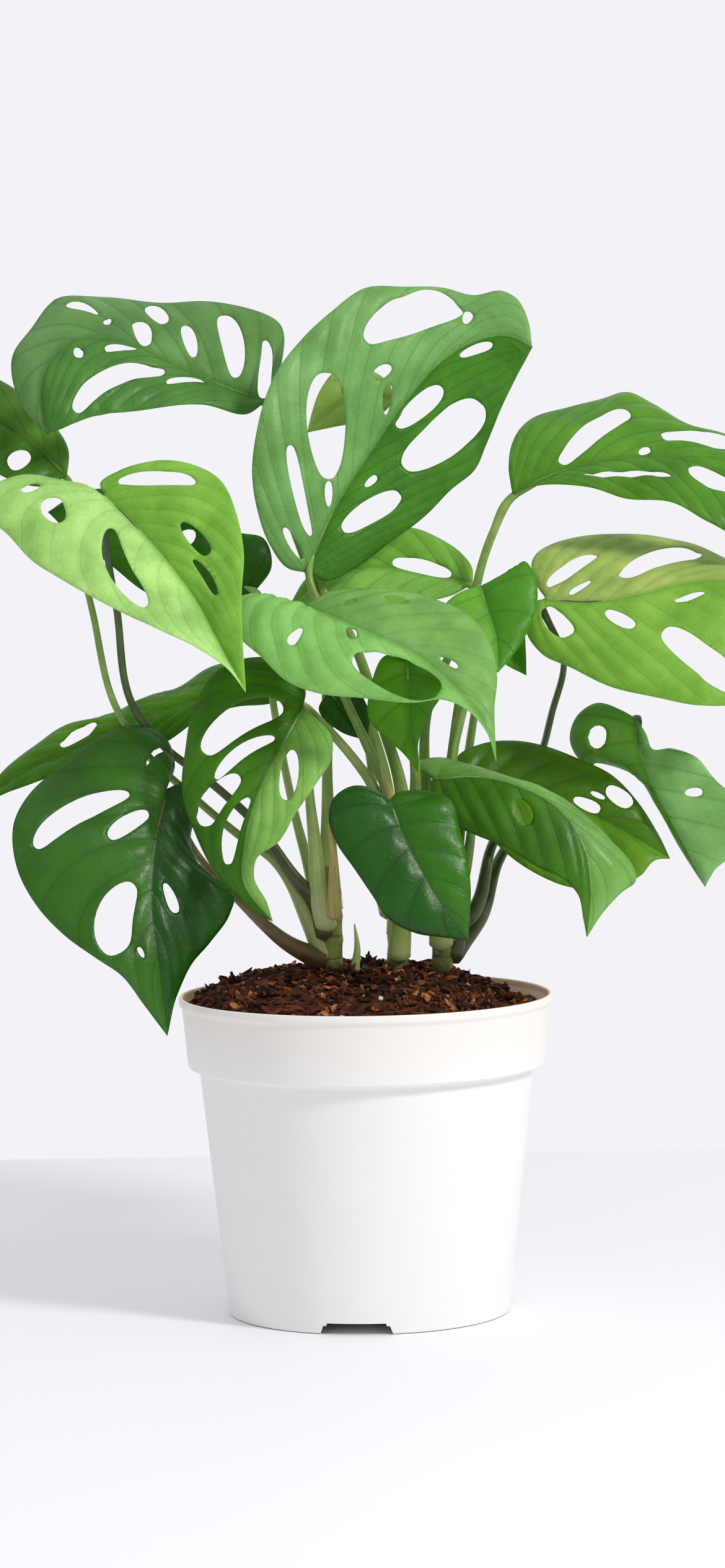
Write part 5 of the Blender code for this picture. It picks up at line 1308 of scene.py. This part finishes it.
def add_pot():
    band_bottom = POT_HEIGHT - BAND_HEIGHT
    wall = POT_WALL
    floor_top = FOOT_HEIGHT + wall
    slope = (SHOULDER_RADIUS - BASE_RADIUS) / (band_bottom - 0.0015)
    inner_foot = BASE_RADIUS + slope * floor_top - wall
    profile = [
        (0.0, wall),
        (PAD_RADIUS, wall),
        (PAD_RADIUS + 0.006, floor_top),
        (inner_foot, floor_top),
        (SHOULDER_RADIUS - wall, band_bottom - 0.0015 + wall),
        (BAND_BOTTOM_RADIUS - wall, band_bottom + wall),
        (BAND_TOP_RADIUS - wall, POT_HEIGHT - 0.005),
        (LIP_RADIUS - wall - 0.0002, POT_HEIGHT - 0.0025),
        (LIP_RADIUS - wall, POT_HEIGHT),
        (LIP_RADIUS, POT_HEIGHT),
        (LIP_RADIUS, POT_HEIGHT - 0.0028),
        (BAND_TOP_RADIUS, POT_HEIGHT - 0.0045),
        (BAND_BOTTOM_RADIUS, band_bottom),
        (SHOULDER_RADIUS, band_bottom - 0.0015),
        (BASE_RADIUS, 0.0),
        (BASE_RADIUS - wall, 0.0),
        (BASE_RADIUS - wall + slope * FOOT_HEIGHT, FOOT_HEIGHT),
        (PAD_RADIUS + 0.006, FOOT_HEIGHT),
        (PAD_RADIUS, 0.0),
        (0.0, 0.0),
    ]
    points, faces = turned_mesh(rounded(profile, CORNER_RADIUS), POT_STEPS)
    look = pot_look()
    mesh = bpy.data.meshes.new("pot_solid")
    mesh.from_pydata(points, [], faces)
    solid = bpy.data.objects.new("pot_solid", mesh)
    bpy.context.scene.collection.objects.link(solid)
    cutters = []
    for k in range(NOTCH_COUNT):
        angle = NOTCH_ANGLE + k * 2 * math.pi / NOTCH_COUNT
        shape = bmesh.new()
        bmesh.ops.create_cube(shape, size=1.0)
        for vert in shape.verts:
            vert.co.y *= NOTCH_WIDTH * (0.80 if vert.co.z > 0 else 1.0)
            vert.co.x *= 0.017
            vert.co.z *= 2 * NOTCH_HEIGHT
        top = [
            edge for edge in shape.edges
            if all(v.co.z > 0 for v in edge.verts) and abs(edge.verts[0].co.y - edge.verts[1].co.y) < 1e-6
        ]
        bmesh.ops.bevel(shape, geom=top, offset=0.0012, segments=4, affect="EDGES")
        cutters.append(add_cutter(f"notch_{k}", shape, BASE_RADIUS, 0.0, angle, angle))
    drain_ring = (PAD_RADIUS + 0.006 + inner_foot) / 2
    for k in range(DRAIN_COUNT):
        angle = NOTCH_ANGLE + (k + 0.5) * 2 * math.pi / DRAIN_COUNT
        shape = bmesh.new()
        bmesh.ops.create_cone(
            shape, cap_ends=True, segments=32, radius1=DRAIN_RADIUS, radius2=DRAIN_RADIUS, depth=6 * wall
        )
        cutters.append(add_cutter(f"drain_{k}", shape, drain_ring, FOOT_HEIGHT + wall / 2, angle))
    for cutter in cutters:
        hole = solid.modifiers.new(cutter.name, "BOOLEAN")
        hole.operation = "DIFFERENCE"
        hole.solver = "EXACT"
        hole.object = cutter
    bpy.context.view_layer.update()
    cut_mesh = bpy.data.meshes.new_from_object(solid.evaluated_get(bpy.context.evaluated_depsgraph_get()))
    for thing in [*cutters, solid]:
        bpy.data.objects.remove(thing)
    cut_mesh.shade_smooth()
    cut_mesh.set_sharp_from_angle(angle=math.radians(38))
    cut_mesh.materials.clear()
    cut_mesh.materials.append(look)
    pot = bpy.data.objects.new("pot_shell", cut_mesh)
    bpy.context.scene.collection.objects.link(pot)
    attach(pot, "root")
    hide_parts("pot")


# The soil ------------------------------------------------------------------------------------------


def soil_level(x, y):
    """The soil's surface, in metres: the frame's heap, lower by the wall at the right, and lumpy."""
    share = min(1.0, math.hypot(x, y) / SOIL_RADIUS)
    edge = POT_HEIGHT - 0.004
    level = edge + (SOIL_TOP - edge) * (1 - share**3.5)
    level -= 0.006 * float(smooth_step(x, 0.020, 0.066))
    lump = noise.noise(Vector((x, y, 0.0)) * 90) * 0.0016 + noise.noise(Vector((x, y, 3.0)) * 260) * 0.0010
    fine = noise.noise(Vector((x, y, 7.0)) * 700) * 0.0006
    return level + (lump + fine) * (1 - 0.5 * share)


def soil_look():
    """Dark, damp coir between the chips."""
    look = Look("coir_soil")
    place = look.place()
    coarse = look.noise(place, 220.0, 6.0, 0.7)
    fine = look.noise(place, 1500.0, 4.0, 0.7)
    colour = look.mix(look.band(coarse, 0.35, 0.65), linear(44, 23, 12), linear(112, 60, 34))
    colour = look.mix(look.band(fine, 0.55, 0.8, 0.0, 0.6), colour, linear(150, 92, 56))
    height = look.math("MULTIPLY_ADD", coarse, 1.0, fine)
    return look.finish(colour, 0.92, look.bump(height, 0.9, 0.001), Specular_IOR_Level=0.2)


def chip_look(name, dark, middle, light, grain):
    """Chips and fibres whose colour changes from piece to piece."""
    look = Look(name)
    tone = look.value("tone")
    place = look.place()
    fleck = look.noise(place, grain, 4.0, 0.7)
    colour = look.mix(look.band(tone, 0.15, 0.7), dark, middle)
    colour = look.mix(look.band(tone, 0.78, 1.0), colour, light)
    colour = look.mix(look.band(fleck, 0.3, 0.75, 0.5, 0.0), colour, dark)
    return look.finish(colour, 0.85, look.bump(fleck, 0.8, 0.0006), Specular_IOR_Level=0.25)


def on_soil():
    """A random place on the soil, clear of the wall."""
    reach = (SOIL_RADIUS - 0.0035) * RNG.random() ** 0.5
    turn = RNG.random() * 2 * math.pi
    x, y = reach * math.cos(turn), reach * math.sin(turn)
    return np.array([x, y, soil_level(x, y)])


def turned_axes():
    """Three random axes at right angles, the first mostly level."""
    first = unit(np.array([*RNG.normal(size=2), 0.45 * RNG.normal()]))
    second = unit(np.cross(first, unit(RNG.normal(size=3) + (0, 0, 1.5))))
    return first, second, np.cross(first, second)


def add_chips(name, count, length, width, thick, look):
    """Splinters of coir: rough, bent slivers, tapered towards both ends."""
    points, faces, tones = [], [], []
    for _ in range(count):
        centre = on_soil()
        first, second, third = turned_axes()
        long = RNG.uniform(*length) / 2
        wide = RNG.uniform(*width) / 2
        high = RNG.uniform(*thick) / 2
        bend = RNG.normal() * 0.25 * long
        centre = centre + (0, 0, high + 0.0006 * RNG.random())
        start = len(points)
        for k in range(CHIP_RINGS):
            s = 2 * k / (CHIP_RINGS - 1) - 1
            taper = (1 - 0.75 * abs(s) ** 2.2) * RNG.uniform(0.8, 1.15)
            middle = centre + first * long * s + third * bend * (s * s - 0.5)
            for turn in CHIP_TURNS:
                jitter = RNG.uniform(0.7, 1.2)
                off = second * math.cos(turn * math.pi) * wide + third * math.sin(turn * math.pi) * high
                points.append(middle + off * taper * jitter)
        faces += tube_faces(CHIP_RINGS, len(CHIP_TURNS), start)
        tones += [RNG.random()] * (len(CHIP_TURNS) * CHIP_RINGS)
    points = clear_of_pot(np.array(points))
    add_piece(name, points, faces, look, smooth=False, tones={"tone": np.array(tones)})


def clear_of_pot(points):
    """Points drawn in to stay clear of the pot's wall."""
    reach = np.linalg.norm(points[:, :2], axis=1)
    limit = SOIL_RADIUS - 0.0012
    over = reach > limit
    points[over, :2] *= (limit / reach[over])[:, None]
    return points


def add_fibres(name, count, look):
    """Thin, curving hairs of coir that lie on the soil."""
    parts = []
    tones = []
    for _ in range(count):
        at = on_soil()
        heading = RNG.uniform(0, 2 * math.pi)
        bend = RNG.normal() * 1.2
        step = RNG.uniform(0.0016, 0.004)
        knots = []
        for k in range(6):
            x, y = at[0], at[1]
            rise = 0.0015 * RNG.random() ** 2 * (1 if k % 2 else 0.3)
            knots.append((x, y, soil_level(x, y) + 0.0006 + rise))
            at = at + step * np.array([math.cos(heading), math.sin(heading), 0])
            heading += bend * 0.35
        radius = RNG.uniform(0.00009, 0.00022)
        route = Line(clear_of_pot(np.array(knots)))
        points, faces, _ = tube_mesh(route, radius * np.array([0.5, *[1] * 8, 0.5]), 5)
        parts.append((points, faces))
        tones += [RNG.random()] * len(points)
    points, faces = join(parts)
    add_piece(name, points, faces, look, tones={"tone": np.array(tones)})


def add_grains(name, count, size, look):
    """Rough little lumps, such as perlite."""
    ball = bmesh.new()
    bmesh.ops.create_icosphere(ball, subdivisions=2, radius=1.0)
    base = np.array([v.co[:] for v in ball.verts])
    base_faces = [tuple(v.index for v in f.verts) for f in ball.faces]
    ball.free()
    parts = []
    tones = []
    for _ in range(count):
        centre = on_soil()
        radius = RNG.uniform(*size)
        shift = RNG.random(3) * 50
        shape = np.array([1 + 0.45 * noise.noise(Vector(p * 1.3 + shift)) for p in base])[:, None]
        points = centre + (0, 0, radius * 0.4) + base * shape * radius * RNG.uniform(0.75, 1.1, 3)
        parts.append((points, base_faces))
        tones += [RNG.random()] * len(points)
    points, faces = join(parts)
    add_piece(name, clear_of_pot(points), faces, look, tones={"tone": np.array(tones)})


def add_soil():
    radius = SOIL_RADIUS - 0.0004
    skirt_radius, skirt = 0.955 * radius, POT_HEIGHT - 0.026
    turns = [2 * math.pi * s / SOIL_STEPS for s in range(SOIL_STEPS)]
    points = [(0.0, 0.0, soil_level(0.0, 0.0))]
    for k in range(1, SOIL_RINGS + 1):
        r = radius * k / SOIL_RINGS
        spots = [(r * math.cos(turn), r * math.sin(turn)) for turn in turns]
        points += [(x, y, soil_level(x, y)) for x, y in spots]
    points += [(skirt_radius * math.cos(turn), skirt_radius * math.sin(turn), skirt) for turn in turns]
    points.append((0.0, 0.0, skirt))
    faces = turned_faces(SOIL_RINGS + 1, SOIL_STEPS)
    add_piece("soil_bed", points, faces, soil_look(), replaces=("soil",))
    coir = chip_look("coir_chips", linear(38, 20, 11), linear(110, 58, 30), linear(206, 130, 76), 900.0)
    hair = chip_look("coir_fibres", linear(70, 40, 22), linear(140, 88, 50), linear(196, 146, 96), 1500.0)
    perlite = chip_look(
        "perlite", linear(196, 190, 180), linear(232, 228, 220), linear(244, 242, 238), 1200.0
    )
    add_chips("soil_chips", CHIP_COUNT, (0.003, 0.009), (0.0018, 0.0048), (0.0010, 0.0026), coir)
    add_chips("soil_crumbs", CRUMB_COUNT, (0.0012, 0.0036), (0.0010, 0.0028), (0.0008, 0.0020), coir)
    add_fibres("soil_fibres", FIBRE_COUNT, hair)
    add_grains("soil_perlite", GRAIN_COUNT, (0.0006, 0.0013), perlite)


# The stage -----------------------------------------------------------------------------------------


def aimed(name, data, place, target, roll=0.0):
    """A camera or lamp in the scene, turned to its target."""
    made = bpy.data.objects.new(name, data)
    made.location = place
    made.rotation_euler = (Vector(target) - Vector(place)).to_track_quat("-Z", "Y").to_euler()
    made.rotation_euler.rotate_axis("Z", roll)
    bpy.context.scene.collection.objects.link(made)
    return made


def add_stage():
    camera = bpy.data.cameras.new("camera")
    camera.lens = CAMERA_LENS
    camera.sensor_width = 36.0
    camera.clip_end = 50.0
    bpy.context.scene.camera = aimed("camera", camera, CAMERA_PLACE, CAMERA_TARGET, CAMERA_ROLL)

    key = bpy.data.lights.new("key", "AREA")
    key.shape = "DISK"
    key.size = KEY_SIZE
    key.energy = KEY_POWER
    key.color = (1.0, 0.985, 0.95)
    aimed("key", key, KEY_PLACE, KEY_TARGET)

    world = bpy.data.worlds.new("world")
    world.use_nodes = True
    sky = Nodes(world.node_tree)
    _, behind, above = sky.split(sky.add("ShaderNodeTexCoord").outputs["Generated"])
    glow = sky.math("MAXIMUM", sky.band(behind, -0.2, 0.9, 0.50, 0.93), sky.band(above, 0.15, 0.9, 0.0, 0.95))
    background = world.node_tree.nodes["Background"].inputs
    background["Color"].default_value = (0.965, 0.96, 1.0, 1.0)
    world.node_tree.links.new(glow, background["Strength"])
    bpy.context.scene.world = world
    bpy.context.scene.view_settings.view_transform = "Standard"

    look = Look("stage_floor")
    haze = look.noise(look.place(), 1.5, 2.0)
    ground = look.finish(look.mix(haze, (0.86, 0.87, 0.89), (0.90, 0.91, 0.93)), 0.6, Specular_IOR_Level=0.3)
    half, back, front = 3.0, 0.42, -3.5
    mesh = bpy.data.meshes.new("stage_floor")
    corners = [(-half, front, 0), (half, front, 0), (half, back, 0), (-half, back, 0)]
    mesh.from_pydata(corners, [], [(0, 1, 2, 3)])
    mesh.materials.append(ground)
    floor = bpy.data.objects.new("stage_floor", mesh)
    floor.location = (0.0, 0.0, -0.0002)
    bpy.context.scene.collection.objects.link(floor)


add_pot()
add_soil()
add_plant()
add_stage()
